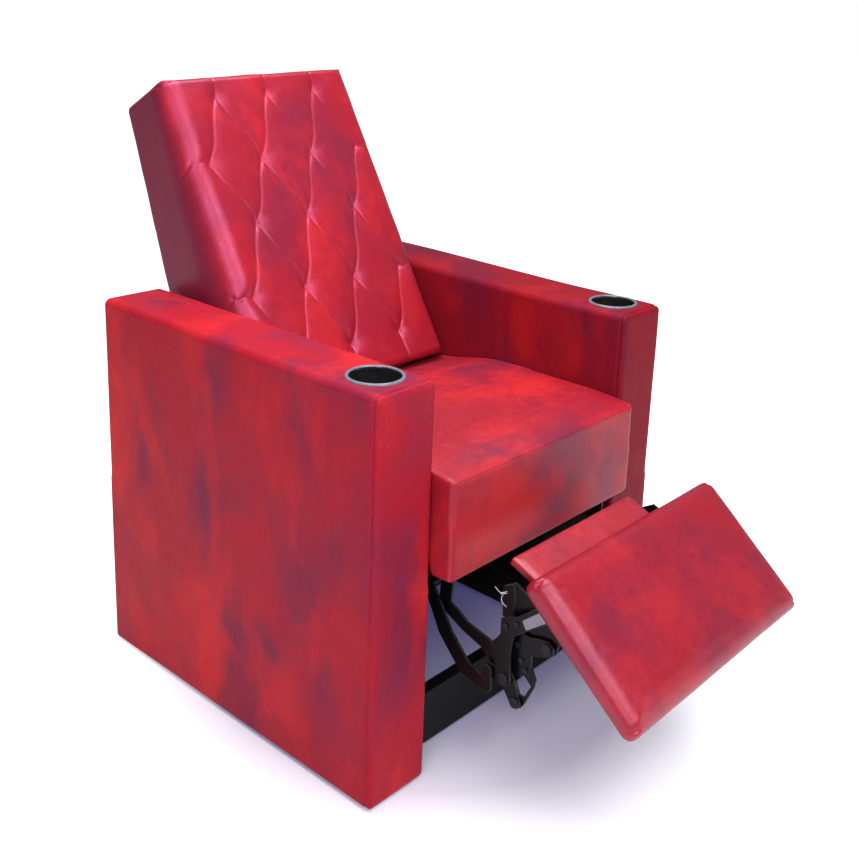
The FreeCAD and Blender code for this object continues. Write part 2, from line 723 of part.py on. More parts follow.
def back_bracket(side):
    """Steel arm from the hinge, under the seat's rear edge and up the outside of a back post."""
    yh, zh = BACK_HINGE
    foam = size("back_foam") + 4
    z1, z2 = size("back_bottom"), size("back_bottom") + size("back_bracket_rise")
    outline = [(yh - 13, zh - 4), (yh - 9, zh + 10), (yh, zh + 14), (yh + 10, zh + 10), (yh + 30, zh + 8),
               (yh + 54, zh + 50), (front_line(z1 + 12, foam), z1 + 12), (front_line(z2, foam), z2),
               (front_line(z2, foam + 30), z2), (front_line(z1, foam + 34), z1),
               (yh + 70, zh + 10), (yh + 50, zh - 14), (yh, zh - 14)]
    plate = drilled(slab(side, layer(2), layer(2) + STEEL, outline), side, 2, [BACK_HINGE])
    return screw_holes(plate, back_bolt_spots(side), (side, 0, 0), STEEL + 2)


def back_bolt_spots(side):
    z = size("back_bottom")
    return [V(side * layer(2), fy(front_line(z + dz, size("back_foam") + 20)), z + dz) for dz in (30, 95)]


for word, shape in both(back_bracket).items():
    feature(word + "_back_bracket", shape)


def back_bolts():
    shapes = [bolt(p + V(side * STEEL, 0, 0), (-side, 0, 0), STEEL)
              for side in (-1, 1) for p in back_bolt_spots(side)]
    feature("back_bolts", Part.makeCompound(shapes))


back_bolts()


# Footrest links, one pair each
def front_link(side):
    """Long cranked link from the seat plate down to the tip."""
    chain = [FRONT_PIVOT, (5, 286), (-38, 263), (-79, 252), CROSSING, TIP]
    shape = bar(side, 2, chain, [12, 12, 10, 12, 15, 10])
    return drilled(shape, side, 2, [FRONT_PIVOT, CROSSING, TIP])


def rear_link(side):
    """Curved link behind the front one; its foot carries the scissor link's open pivot."""
    shape = bar(side, 4, [REAR_PIVOT, (22, 300), (-8, 247), (-48, 205), (-90, 192)], [11, 12, 14, 14, 11])
    foot = slab(side, layer(4), layer(4) + STEEL, round_outline([(-90, 192), REAR_TIP], [11, 9]))
    return drilled(shape.fuse(foot).removeSplitter(), side, 4, [REAR_PIVOT])


def ottoman_link(side):
    """Plate from the tip up to the footrest bracket, with a thin bowed limb round a window."""
    outline = [(-124, 176), (-132, 169), (-144, 171), (-150, 180), (-166, 215), (-169, 229),
               (-159, 246), (-158, 264), (-186, 275), (-196, 281), (-196, 292), (-186, 299),
               (-172, 298), (-150, 292), (-136, 294), (-121, 288), (-120, 280), (-114, 224)]
    window = [(-133, 211), (-147, 228), (-161, 216), (-149, 192), (-141, 193)]
    near = layer(1)
    plate = slab(side, near, near + STEEL, outline)
    plate = plate.cut(slab(side, near - 1, near + STEEL + 1, window))
    return drilled(plate, side, 1, [TIP, OTTOMAN_PIVOT])


def scissor_link(side):
    """Cranked plate across the front link, from the rear link's foot up to the bracket."""
    foot = bar(side, 3, [REAR_TIP, CROSSING], [10, 13])
    outline = [(-106, 219), (-97, 248), (-97, 268), (-109, 285), (-109, 311), (-139, 325), (-168, 350),
               (-183, 360), (-197, 345), (-187, 332), (-151, 305), (-133, 290), (-129, 260), (-131, 219)]
    shape = foot.fuse(slab(side, layer(3), layer(3) + STEEL, outline)).removeSplitter()
    return drilled(shape, side, 3, [CROSSING])


for label, maker in (("front_link", front_link), ("rear_link", rear_link),
                     ("ottoman_link", ottoman_link), ("scissor_link", scissor_link)):
    for word, shape in both(maker).items():
        feature("%s_%s" % (word, label), shape)


def cross_bar():
    """Folded steel bar welded between the two footrest brackets."""
    wall = size("cross_wall")
    outside = [(-126, 306), (-139, 290), (-153, 263), (-142, 258)]
    shape = None
    for a, b in zip(outside, outside[1:]):
        leg = slab(1, -layer(0), layer(0), round_outline([a, b], [wall / 2, wall / 2]))
        shape = leg if shape is None else shape.fuse(leg)
    feature("footrest_cross_bar", shape.removeSplitter())


cross_bar()


def stud(side, number, y, z):
    """Low rivet head on the outer face of a plate."""
    face = layer(number) + STEEL
    return Part.makeCylinder(size("head_radius") / 2, size("head_thick") - 0.2,
                             V(side * face, fy(y), z), V(side, 0, 0))


def footrest_rivets():
    """Pivots between the links, and the plain rivets of the broad plate."""
    pivots = [rivet(side, 1, 2, *TIP) for side in (-1, 1)]
    pivots += [rivet(side, 2, 3, *CROSSING) for side in (-1, 1)]
    feature("front_link_rivets", Part.makeCompound(pivots))
    upper = [rivet(side, 0, 1, *OTTOMAN_PIVOT) for side in (-1, 1)]
    feature("footrest_rivets", Part.makeCompound(upper))
    studs = [stud(side, 1, y, z) for side in (-1, 1) for y, z in ((-133, 273), (-141, 250), (-149, 237))]
    feature("ottoman_link_studs", Part.makeCompound(studs))
    studs = [stud(side, 3, y, z) for side in (-1, 1) for y, z in ((-118, 302), (-137, 313))]
    feature("scissor_link_studs", Part.makeCompound(studs))


footrest_rivets()

# Footrest panel
PANEL_TURN = math.radians(size("footrest_angle"))
ALONG = (-math.cos(PANEL_TURN), -math.sin(PANEL_TURN))
NORMAL = (-math.sin(PANEL_TURN), math.cos(PANEL_TURN))


def panel_point(along, rise):
    """(y, z) of a place on the footrest: along from its near edge, rise above its top face."""
    return (size("footrest_y") + along * ALONG[0] + rise * NORMAL[0],
            size("footrest_z") + along * ALONG[1] + rise * NORMAL[1])


def pad(width, length, thick, edge_radius, crown, board, inset):
    """Upholstered pad, flat on its back: X across, Y from its near edge forward, top at Z zero."""
    side_view = [
        line((0, -edge_radius, -thick), (0, -length + edge_radius, -thick)),
        arc((0, -length + edge_radius, -thick), (0, -length, -thick / 2 - 2), (0, -length + edge_radius, -3)),
        arc((0, -length + edge_radius, -3), (0, -length / 2, crown - 3), (0, -edge_radius, -3)),
        arc((0, -edge_radius, -3), (0, 0, -thick / 2 - 2), (0, -edge_radius, -thick)),
    ]
    long_way = Part.Face(Part.Wire(side_view)).extrude(V(width, 0, 0))
    long_way.translate(V(-width / 2, 0, 0))
    half = width / 2
    y0 = 10
    front_view = [
        line((half - edge_radius, y0, -thick), (-half + edge_radius, y0, -thick)),
        arc((-half + edge_radius, y0, -thick), (-half, y0, -thick / 2 - 2), (-half + edge_radius, y0, -3)),
        arc((-half + edge_radius, y0, -3), (0, y0, crown), (half - edge_radius, y0, -3)),
        arc((half - edge_radius, y0, -3), (half, y0, -thick / 2 - 2), (half - edge_radius, y0, -thick)),
    ]
    cross_way = Part.Face(Part.Wire(front_view)).extrude(V(0, -length - 20, 0))
    shape = long_way.common(cross_way)
    pocket = Part.makeBox(width - 2 * inset, length - 2 * inset, board + 1,
                          V(-width / 2 + inset, -length + inset, -thick - 1))
    return shape.cut(pocket)


def panel(label, width, length, thick, edge_radius, crown, board, inset, y, z, angle):
    """Pad and its plywood board."""
    cushion = pad(width, length, thick, edge_radius, crown, board, inset)
    gap = 0.3
    ply = Part.makeBox(width - 2 * (inset + gap), length - 2 * (inset + gap), board,
                       V(-width / 2 + inset + gap, -length + inset + gap, -thick))
    place = FreeCAD.Placement(V(0, fy(y), z), FreeCAD.Rotation(V(1, 0, 0), angle))
    feature(label + "_pad", cushion, place)
    feature(label + "_board", ply, place)


panel("footrest", size("footrest_width"), size("footrest_length"), size("footrest_thick"),
      size("footrest_round"), size("footrest_crown"), size("footrest_board"), size("board_inset"),
      size("footrest_y"), size("footrest_z"), size("footrest_angle"))
panel("flipper", size("flipper_width"), size("flipper_length"), size("flipper_thick"),
      size("flipper_thick") / 2.4, 2, size("flipper_board"), 7,
      size("flipper_y"), size("flipper_z"), size("flipper_angle"))


def footrest_bracket(side):
    """Web with a flange under the footrest board, both pivots and a plate that hangs behind."""
    under = -size("footrest_thick")
    near = layer(0)
    far = near + STEEL
    web = [(-98, 352), (-118, 364), (-152, 349), panel_point(14, under), panel_point(150, under),
           panel_point(150, under - 16), (-200, 298), (-196, 280), (-186, 275), (-168, 276),
           (-154, 258), (-140, 252), (-118, 264), (-112, 290), (-99, 304)]
    shape = slab(side, near, far, web)
    strap = [(-98, 352), (-117, 362), (-121, 335), (-113, 305), (-99, 304)]
    shape = shape.fuse(slab(side, far, far + size("strap_thick"), strap))
    flange = [panel_point(14, under), panel_point(150, under), panel_point(150, under - STEEL),
              panel_point(14, under - STEEL)]
    shape = shape.fuse(slab(side, near, near + size("bracket_flange"), flange)).removeSplitter()
    shape = drilled(shape, side, 0, [OTTOMAN_PIVOT, FLIPPER_HINGE])
    return shape


def hull(points):
    """Convex outline of (y, z) points."""
    return round_outline(points, [0.01] * len(points))


for word, shape in both(footrest_bracket).items():
    feature(word + "_footrest_bracket", shape)


FLIP_TURN = math.radians(size("flipper_angle"))


def flipper_point(along, rise):
    """(y, z) of a place on the flipper: along from its rear edge, rise above its top face."""
    return (size("flipper_y") - along * math.cos(FLIP_TURN) - rise * math.sin(FLIP_TURN),
            size("flipper_z") - along * math.sin(FLIP_TURN) + rise * math.cos(FLIP_TURN))


def flipper_bracket(side):
    """Small angle screwed under the flipper and hinged on the footrest bracket."""
    under = -size("flipper_thick")
    near = layer(-1)
    start, end = size("flipper_foot"), size("flipper_foot") + 24
    plate = hull([flipper_point(start, under), flipper_point(start, under - STEEL),
                  flipper_point(end, under - STEEL)] + round_outline([FLIPPER_HINGE], [10]))
    shape = slab(side, near, near + STEEL, plate)
    foot = [flipper_point(start, under), flipper_point(end, under), flipper_point(end, under - STEEL),
            flipper_point(start, under - STEEL)]
    inner = size("flipper_width") / 2 - size("bracket_flange")
    shape = shape.fuse(slab(side, inner, near + STEEL, foot)).removeSplitter()
    return drilled(shape, side, -1, [FLIPPER_HINGE])


for word, shape in both(flipper_bracket).items():
    feature(word + "_flipper_bracket", shape)

feature("flipper_rivets", Part.makeCompound([rivet(side, -1, 0, *FLIPPER_HINGE) for side in (-1, 1)]))


def panel_screws():
    """Screw heads under the bracket flanges, along the footrest board."""
    under = -size("footrest_thick") - STEEL
    rise = V(0, -NORMAL[0], -NORMAL[1])
    shapes = []
    for side in (-1, 1):
        for along in (40, 130):
            y, z = panel_point(along, under)
            point = V(side * (layer(0) + size("bracket_flange") - 12), fy(y), z)
            shapes.append(Part.makeCylinder(size("screw_radius"), 2, point, rise))
    feature("footrest_screws", Part.makeCompound(shapes))


panel_screws()

# Check every object before anything is written
doc.recompute()
for item in doc.Objects:
    if "Invalid" in item.State or "Error" in item.State:
        raise RuntimeError("failed object: " + item.Name)
for item in NODES:
    if item.Shape.isNull() or not item.Shape.isValid():
        raise RuntimeError("bad shape: " + item.Label)

os.makedirs("parts", exist_ok=True)
low = V(1e9, 1e9, 1e9)
high = V(-1e9, -1e9, -1e9)
for item in NODES:
    item.Shape.exportStep(os.path.join("parts", item.Label + ".step"))
    bounds = item.Shape.optimalBoundingBox(False)
    low = V(min(low.x, bounds.XMin), min(low.y, bounds.YMin), min(low.z, bounds.ZMin))
    high = V(max(high.x, bounds.XMax), max(high.y, bounds.YMax), max(high.z, bounds.ZMax))
print("nodes", len(NODES))
print("box", low, high, "middle", (low + high) * 0.5)
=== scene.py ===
import json
import math
import bpy
import bmesh
import numpy as np
from mathutils import Matrix, Vector


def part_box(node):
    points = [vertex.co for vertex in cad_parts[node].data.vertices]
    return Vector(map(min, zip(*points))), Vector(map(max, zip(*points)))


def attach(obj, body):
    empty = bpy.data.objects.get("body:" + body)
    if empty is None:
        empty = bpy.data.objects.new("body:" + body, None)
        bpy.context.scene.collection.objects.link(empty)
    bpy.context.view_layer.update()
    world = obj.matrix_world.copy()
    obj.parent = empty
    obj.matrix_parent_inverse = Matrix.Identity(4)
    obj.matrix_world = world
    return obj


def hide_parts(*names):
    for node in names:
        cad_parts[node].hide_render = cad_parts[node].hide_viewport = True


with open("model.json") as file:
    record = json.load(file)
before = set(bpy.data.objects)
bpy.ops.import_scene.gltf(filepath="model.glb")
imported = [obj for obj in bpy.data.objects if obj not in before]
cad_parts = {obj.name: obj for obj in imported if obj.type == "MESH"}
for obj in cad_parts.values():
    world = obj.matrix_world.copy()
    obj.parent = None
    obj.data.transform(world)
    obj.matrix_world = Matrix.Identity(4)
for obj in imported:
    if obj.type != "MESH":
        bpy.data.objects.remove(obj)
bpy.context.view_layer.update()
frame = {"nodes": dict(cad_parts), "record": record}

FRONT_Y = -0.21837      # model Y of the arms' front faces
MM = 0.001
FAR = 9.0               # a distance beyond everything on the chair
TINY = 1e-9             # keeps a division from meeting zero


def at(x, y, z):
    """Point in the frame from millimetres, y counted from the arms' front faces."""
    return Vector((x * MM, y * MM + FRONT_Y, z * MM))


def add_object(name, data):
    obj = bpy.data.objects.new(name, data)
    bpy.context.scene.collection.objects.link(obj)
    return obj


# Camera
PHOTO_SIDE = 858        # in pixels, as are the two lengths below
FOCAL_LENGTH, SHIFT_DOWN = 1119.5, 139
HEADING, DIP, ROLL = (math.radians(angle) for angle in (48.16, 14.57, 1.96))
CAMERA_PLACE = at(-1380.7, -994.5, 1182.4)
SENSOR_WIDTH = 36


def make_camera():
    """Camera that sees the chair as the photo does."""
    cam = add_object("camera", bpy.data.cameras.new("camera"))
    forward = Vector((math.sin(HEADING) * math.cos(DIP), math.cos(HEADING) * math.cos(DIP), -math.sin(DIP)))
    level = forward.cross(Vector((0, 0, 1))).normalized()
    upright = level.cross(forward)
    right = level * math.cos(ROLL) + upright * math.sin(ROLL)
    up = -level * math.sin(ROLL) + upright * math.cos(ROLL)
    turn = Matrix((right, up, -forward)).transposed().to_4x4()
    cam.matrix_world = Matrix.Translation(CAMERA_PLACE) @ turn
    cam.data.sensor_width = SENSOR_WIDTH
    cam.data.lens = FOCAL_LENGTH / PHOTO_SIDE * SENSOR_WIDTH
    cam.data.shift_y = -SHIFT_DOWN / PHOTO_SIDE
    cam.data.clip_end = 50
    bpy.context.scene.camera = cam


make_camera()
bpy.context.scene.view_settings.view_transform = "Standard"


# Materials
class Nodes:
    """Short spellings for building a material's node tree."""

    def __init__(self, name):
        self.material = bpy.data.materials.new(name)
        self.material.use_nodes = True
        self.tree = self.material.node_tree
        self.shader = self.tree.nodes["Principled BSDF"]

    def feed(self, node, inputs):
        """Fills inputs, given by name or number, each from another node's output or with a value."""
        for key, item in inputs.items():
            socket = node.inputs[key]
            if isinstance(item, bpy.types.NodeSocket):
                self.tree.links.new(item, socket)
            else:
                socket.default_value = (*item, 1) if socket.type == "RGBA" else item

    def add(self, kind, inputs, **settings):
        node = self.tree.nodes.new(kind)
        for key, value in settings.items():
            setattr(node, key, value)
        self.feed(node, inputs)
        return node

    def coords(self, scale=(1, 1, 1), location=(0, 0, 0)):
        """The piece's own coordinates in metres, stretched and shifted."""
        source = self.add("ShaderNodeTexCoord", {})
        inputs = {"Vector": source.outputs["Object"], "Scale": scale, "Location": location}
        return self.add("ShaderNodeMapping", inputs).outputs["Vector"]

    def noise(self, vector, scale, detail, rough=0.55, distort=0.0):
        inputs = {"Vector": vector, "Scale": scale, "Detail": detail, "Roughness": rough, "Distortion": distort}
        return self.add("ShaderNodeTexNoise", inputs).outputs["Fac"]

    def blend(self, value, *stops):
        """Two colours blended by a value; each stop is a place and a colour."""
        node = self.add("ShaderNodeValToRGB", {"Fac": value})
        for element, (place, color) in zip(node.color_ramp.elements, stops):
            element.position = place
            element.color = (*color, 1)
        return node.outputs["Color"]

    def remap(self, value, span, out=(0.0, 1.0)):
        """A value's span stretched to the span out."""
        inputs = {"Value": value, "From Min": span[0], "From Max": span[1], "To Min": out[0], "To Max": out[1]}
        return self.add("ShaderNodeMapRange", inputs).outputs["Result"]

    def mix(self, factor, a, b):
        return self.add("ShaderNodeMix", {"Factor": factor, 6: a, 7: b}, data_type="RGBA").outputs[2]

    def math(self, operation, *values):
        return self.add("ShaderNodeMath", dict(enumerate(values)), operation=operation).outputs[0]

    def bump(self, height, strength, distance, under=None):
        """Normal of a relief, on top of another one's where that is given."""
        inputs = {"Height": height, "Strength": strength, "Distance": distance}
        if under is not None:
            inputs["Normal"] = under
        return self.add("ShaderNodeBump", inputs).outputs["Normal"]

    def set(self, **values):
        """Fills the shader's own inputs."""
        self.feed(self.shader, {key.replace("_", " "): value for key, value in values.items()})


BRIGHT = (0.62, 0.020, 0.022)
RED = (0.40, 0.012, 0.024)
PLUM = (0.200, 0.017, 0.050)
PORE = (0.07, 0.004, 0.014)
# painted shade: the toned-down plum that a skin takes where it faces sideways
SIDE_SHADE_TONE = 0.72                    # of plum, where a skin faces sideways
PINK_GLEAM = (1.0, 0.52, 0.76)
MOST_NOISE = (0.3, 0.7)             # the span that most of a noise lies in


def toned(color, factor, plus=0.0):
    return tuple(c * factor + plus for c in color)


def marbled_leather(name, tone, spec, gleam, rough=0.46, shift=(0, 0, 0), stretch=(1, 1, 0.6), bright=0.0,
                    haze=0.0, marble=0.95, side_shade=0.0):
    """Cloudy red leatherette: sponged bright patches and plum shadows over a fine pebbled grain.

    tone scales the colours; spec and gleam are the strength and the tint of the highlights. bright and haze
    widen the bright patches and the shadows, and marble is how strong both are. The last argument is painted
    shade: how much darker the skin is made where it faces sideways, away from the light.
    """
    m = Nodes(name)
    place, plain = m.coords(scale=stretch, location=shift), m.coords()
    shadow = m.noise(place, scale=5.2, detail=3.5, rough=0.52, distort=0.35)
    sponge = m.noise(place, scale=8.0, detail=3.5, rough=0.55, distort=0.35)
    drift = m.noise(place, scale=2.6, detail=1.0, rough=0.4)
    mottle = m.noise(place, scale=70.0, detail=3.0, rough=0.6)
    speck = m.noise(plain, scale=500.0, detail=2.0, rough=0.6)
    creases = m.noise(plain, scale=95.0, detail=6.0, rough=0.65, distort=0.4)
    patch = m.math("ADD", m.math("MULTIPLY", sponge, 0.75), m.math("MULTIPLY", drift, 0.25))
    patch = m.math("ADD", patch, m.remap(mottle, MOST_NOISE, (-0.02, 0.02)))
    red, plum, glow = (toned(shade, tone) for shade in (RED, PLUM, BRIGHT))
    color = m.mix(m.remap(shadow, (0.47 - haze, 0.66 - haze), (0.0, marble)), red, plum)
    color = m.mix(m.remap(patch, (0.48 - bright, 0.64 - bright), (0.0, marble)), color, glow)
    if side_shade:
        # painted shade: where the skin faces sideways, its colour is darkened towards plum
        split = m.add("ShaderNodeSeparateXYZ", {0: m.add("ShaderNodeTexCoord", {}).outputs["Normal"]})
        painted_side_shade = m.remap(m.math("ABSOLUTE", split.outputs[0]), (0.78, 0.97), (0.0, side_shade))
        color = m.mix(painted_side_shade, color, toned(PLUM, SIDE_SHADE_TONE))
    color = m.mix(m.remap(speck, (0.36, 0.64), (0.43, 0.0)), color, PORE)
    cell = m.add("ShaderNodeTexVoronoi", {"Vector": plain, "Scale": 620}, feature="DISTANCE_TO_EDGE")
    grain = m.bump(m.remap(cell.outputs["Distance"], (0.0, 0.32)), strength=0.14, distance=0.0004)
    m.set(Base_Color=color, Roughness=m.remap(mottle, MOST_NOISE, (rough - 0.05, rough + 0.07)),
          Normal=m.bump(creases, strength=0.07, distance=0.002, under=grain),
          Specular_IOR_Level=spec, Specular_Tint=gleam)
    return m.material


def black_metal(name, color, rough, wear_and_glint):
    """Sprayed or rolled black steel: fine orange peel, and rounded edges, rubbed paler and given a painted
    highlight.
    """
    m = Nodes(name)
    place = m.coords()
    cloud = m.noise(place, scale=38.0, detail=5.0, rough=0.6)
    peel = m.noise(place, scale=900.0, detail=2.0, rough=0.5)
    soft = m.add("ShaderNodeBevel", {"Radius": 0.0011}, samples=4).outputs["Normal"]
    flat = m.add("ShaderNodeNewGeometry", {}).outputs["Normal"]
    facing = m.add("ShaderNodeVectorMath", {0: soft, 1: flat}, operation="DOT_PRODUCT")
    # painted highlight, with some rubbed paint: the base colour turns paler along rounded edges
    edge = m.math("MULTIPLY", m.remap(facing.outputs["Value"], (0.995, 0.80)),
                  m.remap(cloud, (0.3, 0.6), (0.35, 1.0)))
    base = m.blend(cloud, (0.45, color), (0.75, toned(color, 1.6)))
    m.set(Base_Color=m.mix(edge, base, toned(color, 1, wear_and_glint)), Specular_IOR_Level=0.15,
          Roughness=m.remap(cloud, MOST_NOISE, (rough - 0.06, rough + 0.10)),
          Normal=m.bump(peel, strength=0.08, distance=0.0002, under=soft))
    return m.material


def moulded_plastic(name, color, rough):
    """Plastic with a very fine texture and a slight cloudiness."""
    m = Nodes(name)
    place = m.coords()
    texture = m.noise(place, scale=1400.0, detail=2.0, rough=0.5)
    cloud = m.noise(place, scale=60.0, detail=3.0, rough=0.5)
    m.set(Base_Color=m.blend(cloud, (0.3, color), (0.8, toned(color, 1.5, 0.004))),
          Roughness=m.remap(cloud, MOST_NOISE, (rough - 0.04, rough + 0.05)),
          Normal=m.bump(texture, strength=0.06, distance=0.0001))
    return m.material


def washed_wood(name, color):
    """Board with grain along its length, under a dark wash."""
    m = Nodes(name)
    grain = m.noise(m.coords(scale=(1, 12, 12)), scale=14.0, detail=8.0, rough=0.65, distort=0.8)
    m.set(Base_Color=m.blend(grain, (0.35, toned(color, 0.6)), (0.7, color)), Roughness=0.7,
          Normal=m.bump(grain, strength=0.2, distance=0.0006))
    return m.material


def woven_cloth(name, color, pitch):
    """Plain weave: crossed waves in two directions, their threads a pitch apart."""
    m = Nodes(name)
    place = m.coords()
    waves = [m.add("ShaderNodeTexWave", {"Scale": 0.31 / pitch, "Vector": place}, bands_direction=way)
             for way in "XY"]
    height = m.math("MULTIPLY", waves[0].outputs["Fac"], waves[1].outputs["Fac"])
    worn = m.math("MULTIPLY", height, m.noise(place, scale=40.0, detail=4.0))
    m.set(Base_Color=m.blend(worn, (0.05, toned(color, 0.5)), (0.4, color)), Roughness=0.9,
          Normal=m.bump(height, strength=0.3, distance=0.0004))
    return m.material


LEATHER = marbled_leather("leather_marbled", 1.10, 0.13, PINK_GLEAM, bright=0.012, haze=0.01)
LEATHER_BACK = marbled_leather("leather_marbled_back", 0.91, 1.0, (1.0, 0.30, 0.58), rough=0.33,
                               shift=(0.35, 0.1, 0.2), bright=-0.01, haze=-0.02, marble=0.80, side_shade=0.82)
LEATHER_SEAT = marbled_leather("leather_marbled_seat", 0.97, 0.48, (1.0, 0.64, 0.82), rough=0.40,
                               shift=(0.9, 0.4, 0.0), stretch=(0.7, 1.1, 0.8), haze=-0.01)
# painted shade: a darker copy of the arms' leather, for the far arm whose faces lie in shade
LEATHER_FAR_SHADED = marbled_leather("leather_marbled_far_shaded", 0.66, 0.10, (1.0, 0.4, 0.7), shift=(1.7, 0.2, 0.6),
                              bright=-0.04, haze=0.03)
LEATHER_FOOT = marbled_leather("leather_marbled_foot", 0.87, 0.66, (1.0, 0.60, 0.82), rough=0.35,
                               shift=(0.2, 1.4, 0.3), stretch=(0.8, 1, 1), bright=-0.01, haze=0.01, marble=0.60)
LEATHER_PALE = marbled_leather("leather_marbled_pale", 1.0, 0.95, (1.0, 0.78, 0.88), rough=0.40,
                               shift=(2.2, 0.3, 0.5), bright=-0.02, marble=0.50)
BLACK_STEEL = black_metal("steel_black_painted", (0.0025, 0.0025, 0.0035), 0.30, 0.16)
RIVET_STEEL = black_metal("steel_black_rivet", (0.010, 0.010, 0.012), 0.24, 0.12)
RAIL_PAINT = black_metal("rail_black_paint", (0.007, 0.007, 0.009), 0.42, 0.02)
BLACK_BOARD = washed_wood("wood_black_washed", (0.012, 0.012, 0.013))
PLASTIC = moulded_plastic("plastic_black_glossy", (0.008, 0.008, 0.009), 0.22)
# painted reflection: the rim's paler bluish grey stands in for bright surroundings reflected in the black
# plastic
RIM = moulded_plastic("plastic_rim_painted_sheen", (0.13, 0.14, 0.18), 0.26)
GLIDE = moulded_plastic("plastic_black_matte", (0.02, 0.02, 0.02), 0.55)
WHITE_TIE = moulded_plastic("plastic_white_tie", (0.46, 0.46, 0.44), 0.4)
GREY_FILM = moulded_plastic("film_grey", (0.20, 0.205, 0.25), 0.4)
WEBBING = woven_cloth("webbing_woven", (0.05, 0.05, 0.055), 0.003)
LINING = woven_cloth("lining_black_cloth", (0.008, 0.008, 0.009), 0.0012)

SLOT_LOOKS = {"leather": LEATHER_BACK, "padding": LEATHER_SEAT, "wood": BLACK_BOARD,
              "black_steel": BLACK_STEEL, "rivet_steel": RIVET_STEEL, "painted_rail": RAIL_PAINT,
              "cup_plastic": PLASTIC, "glide_plastic": GLIDE, "webbing": WEBBING}
for entry in frame["record"]["subparts"]:
    looks = frame["nodes"][entry["node"]].data.materials
    looks.clear()
    looks.append(SLOT_LOOKS[entry["material_slot"]])


# Padded pieces
def smoothstep(low, high, value):
    t = np.clip((value - low) / (high - low), 0, 1)
    return t * t * (3 - 2 * t)


def stations(length, step, edge=0.014, fine=0.002, extra=()):
    """Positions from -length/2 to length/2: fine near both ends and in extra (low, high, step) bands."""
    half = length / 2
    bands = [(-half, -half + edge, fine), (half - edge, half, fine), *extra]
    marks = sorted({-half, half, *(v for low, high, _ in bands for v in (low, high) if -half < v < half)})
    places = [-half]
    for low, high in zip(marks, marks[1:]):
        middle = (low + high) / 2
        pitch = min([step] + [size for a, b, size in bands if a <= middle <= b])
        count = max(1, math.ceil((high - low) / pitch - 1e-6))
        places += [low + (high - low) * (k + 1) / count for k in range(count)]
    return np.array(places)


def box_grid(lines):
    """Points on a box's six faces from three lists of stations, with quads; the sides share edges."""
    counts = [len(line) - 1 for line in lines]
    index, points, quads = {}, [], []

    def vertex(key):
        if key not in index:
            index[key] = len(points)
            points.append([lines[k][key[k]] for k in range(3)])
        return index[key]

    for axis in range(3):
        u, v = (axis + 1) % 3, (axis + 2) % 3
        for end in (0, counts[axis]):
            for i in range(counts[u]):
                for j in range(counts[v]):
                    ring = []
                    for du, dv in ((0, 0), (1, 0), (1, 1), (0, 1)):
                        key = [0, 0, 0]
                        key[axis], key[u], key[v] = end, i + du, j + dv
                        ring.append(vertex(tuple(key)))
                    quads.append(ring if end else ring[::-1])
    return np.array(points), quads


def rounded(points, size, radius):
    """Box points moved on to a rounded box, whose radius is given per point, and their outward normals."""
    reach = size / 2 - radius[:, None]
    inner = np.clip(points, -reach, reach)
    out = points - inner
    normal = out / np.maximum(np.linalg.norm(out, axis=1), TINY)[:, None]
    return inner + normal * radius[:, None], normal


def round_corner(a, b, half_a, end_b, radius):
    """Two coordinates, rounded where |a| nears half_a and b nears end_b; inner points follow."""
    toward = math.copysign(1, end_b)
    qa = (np.abs(a) - (half_a - radius)) / radius
    qb = (b * toward - (abs(end_b) - radius)) / radius
    near = (qa > 0) & (qb > 0)
    scale = np.where(near, np.maximum(qa, qb) / np.maximum(np.hypot(qa, qb), TINY), 1)
    new_a = np.where(near, np.sign(a) * (half_a - radius + radius * qa * scale), a)
    new_b = np.where(near, toward * (abs(end_b) - radius + radius * qb * scale), b)
    return new_a, new_b


def new_mesh(name, points, faces):
    mesh = bpy.data.meshes.new(name)
    mesh.from_pydata([tuple(p) for p in points], [], faces)
    mesh.update()
    return mesh


def shade_smooth(mesh):
    mesh.polygons.foreach_set("use_smooth", [True] * len(mesh.polygons))


def make_piece(name, points, faces, material, body):
    mesh = new_mesh(name, points, faces)
    shade_smooth(mesh)
    mesh.materials.append(material)
    obj = add_object(name, mesh)
    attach(obj, body)
    return obj


def surface_normals(points, faces):
    """Vertex normals of a closed mesh."""
    mesh = new_mesh("normals", points, faces)
    values = np.empty(len(mesh.vertices) * 3)
    mesh.vertices.foreach_get("normal", values)
    bpy.data.meshes.remove(mesh)
    return values.reshape(-1, 3)


def groove(distance, width, depth):
    """Soft V along a line: how far in a point lies at a distance from it."""
    return depth * np.exp(-np.abs(distance) / width)


RIPPLE_WAVES = 7


def ripple(points, seed, scale, amount):
    """Slow unevenness of stuffed leather, the same on every run."""
    rng = np.random.default_rng(seed)
    total = np.zeros(len(points))
    for _ in range(RIPPLE_WAVES):
        direction = rng.normal(size=3)
        direction /= np.linalg.norm(direction)
        length = scale * rng.uniform(0.6, 1.7)
        phase = rng.uniform(0, 6.3)
        total += np.sin(points @ direction * (2 * math.pi / length) + phase)
    return total * amount / RIPPLE_WAVES


PRESSURE, SWELL_FRAMES = 4.0, 20


def apply_modifiers(obj):
    """Bake the object's modifiers into its mesh, and give its points."""
    graph = bpy.context.evaluated_depsgraph_get()
    mesh = bpy.data.meshes.new_from_object(obj.evaluated_get(graph), depsgraph=graph)
    obj.modifiers.clear()
    obj.data = mesh
    points = np.empty(len(mesh.vertices) * 3)
    mesh.vertices.foreach_get("co", points)
    return points.reshape(-1, 3)


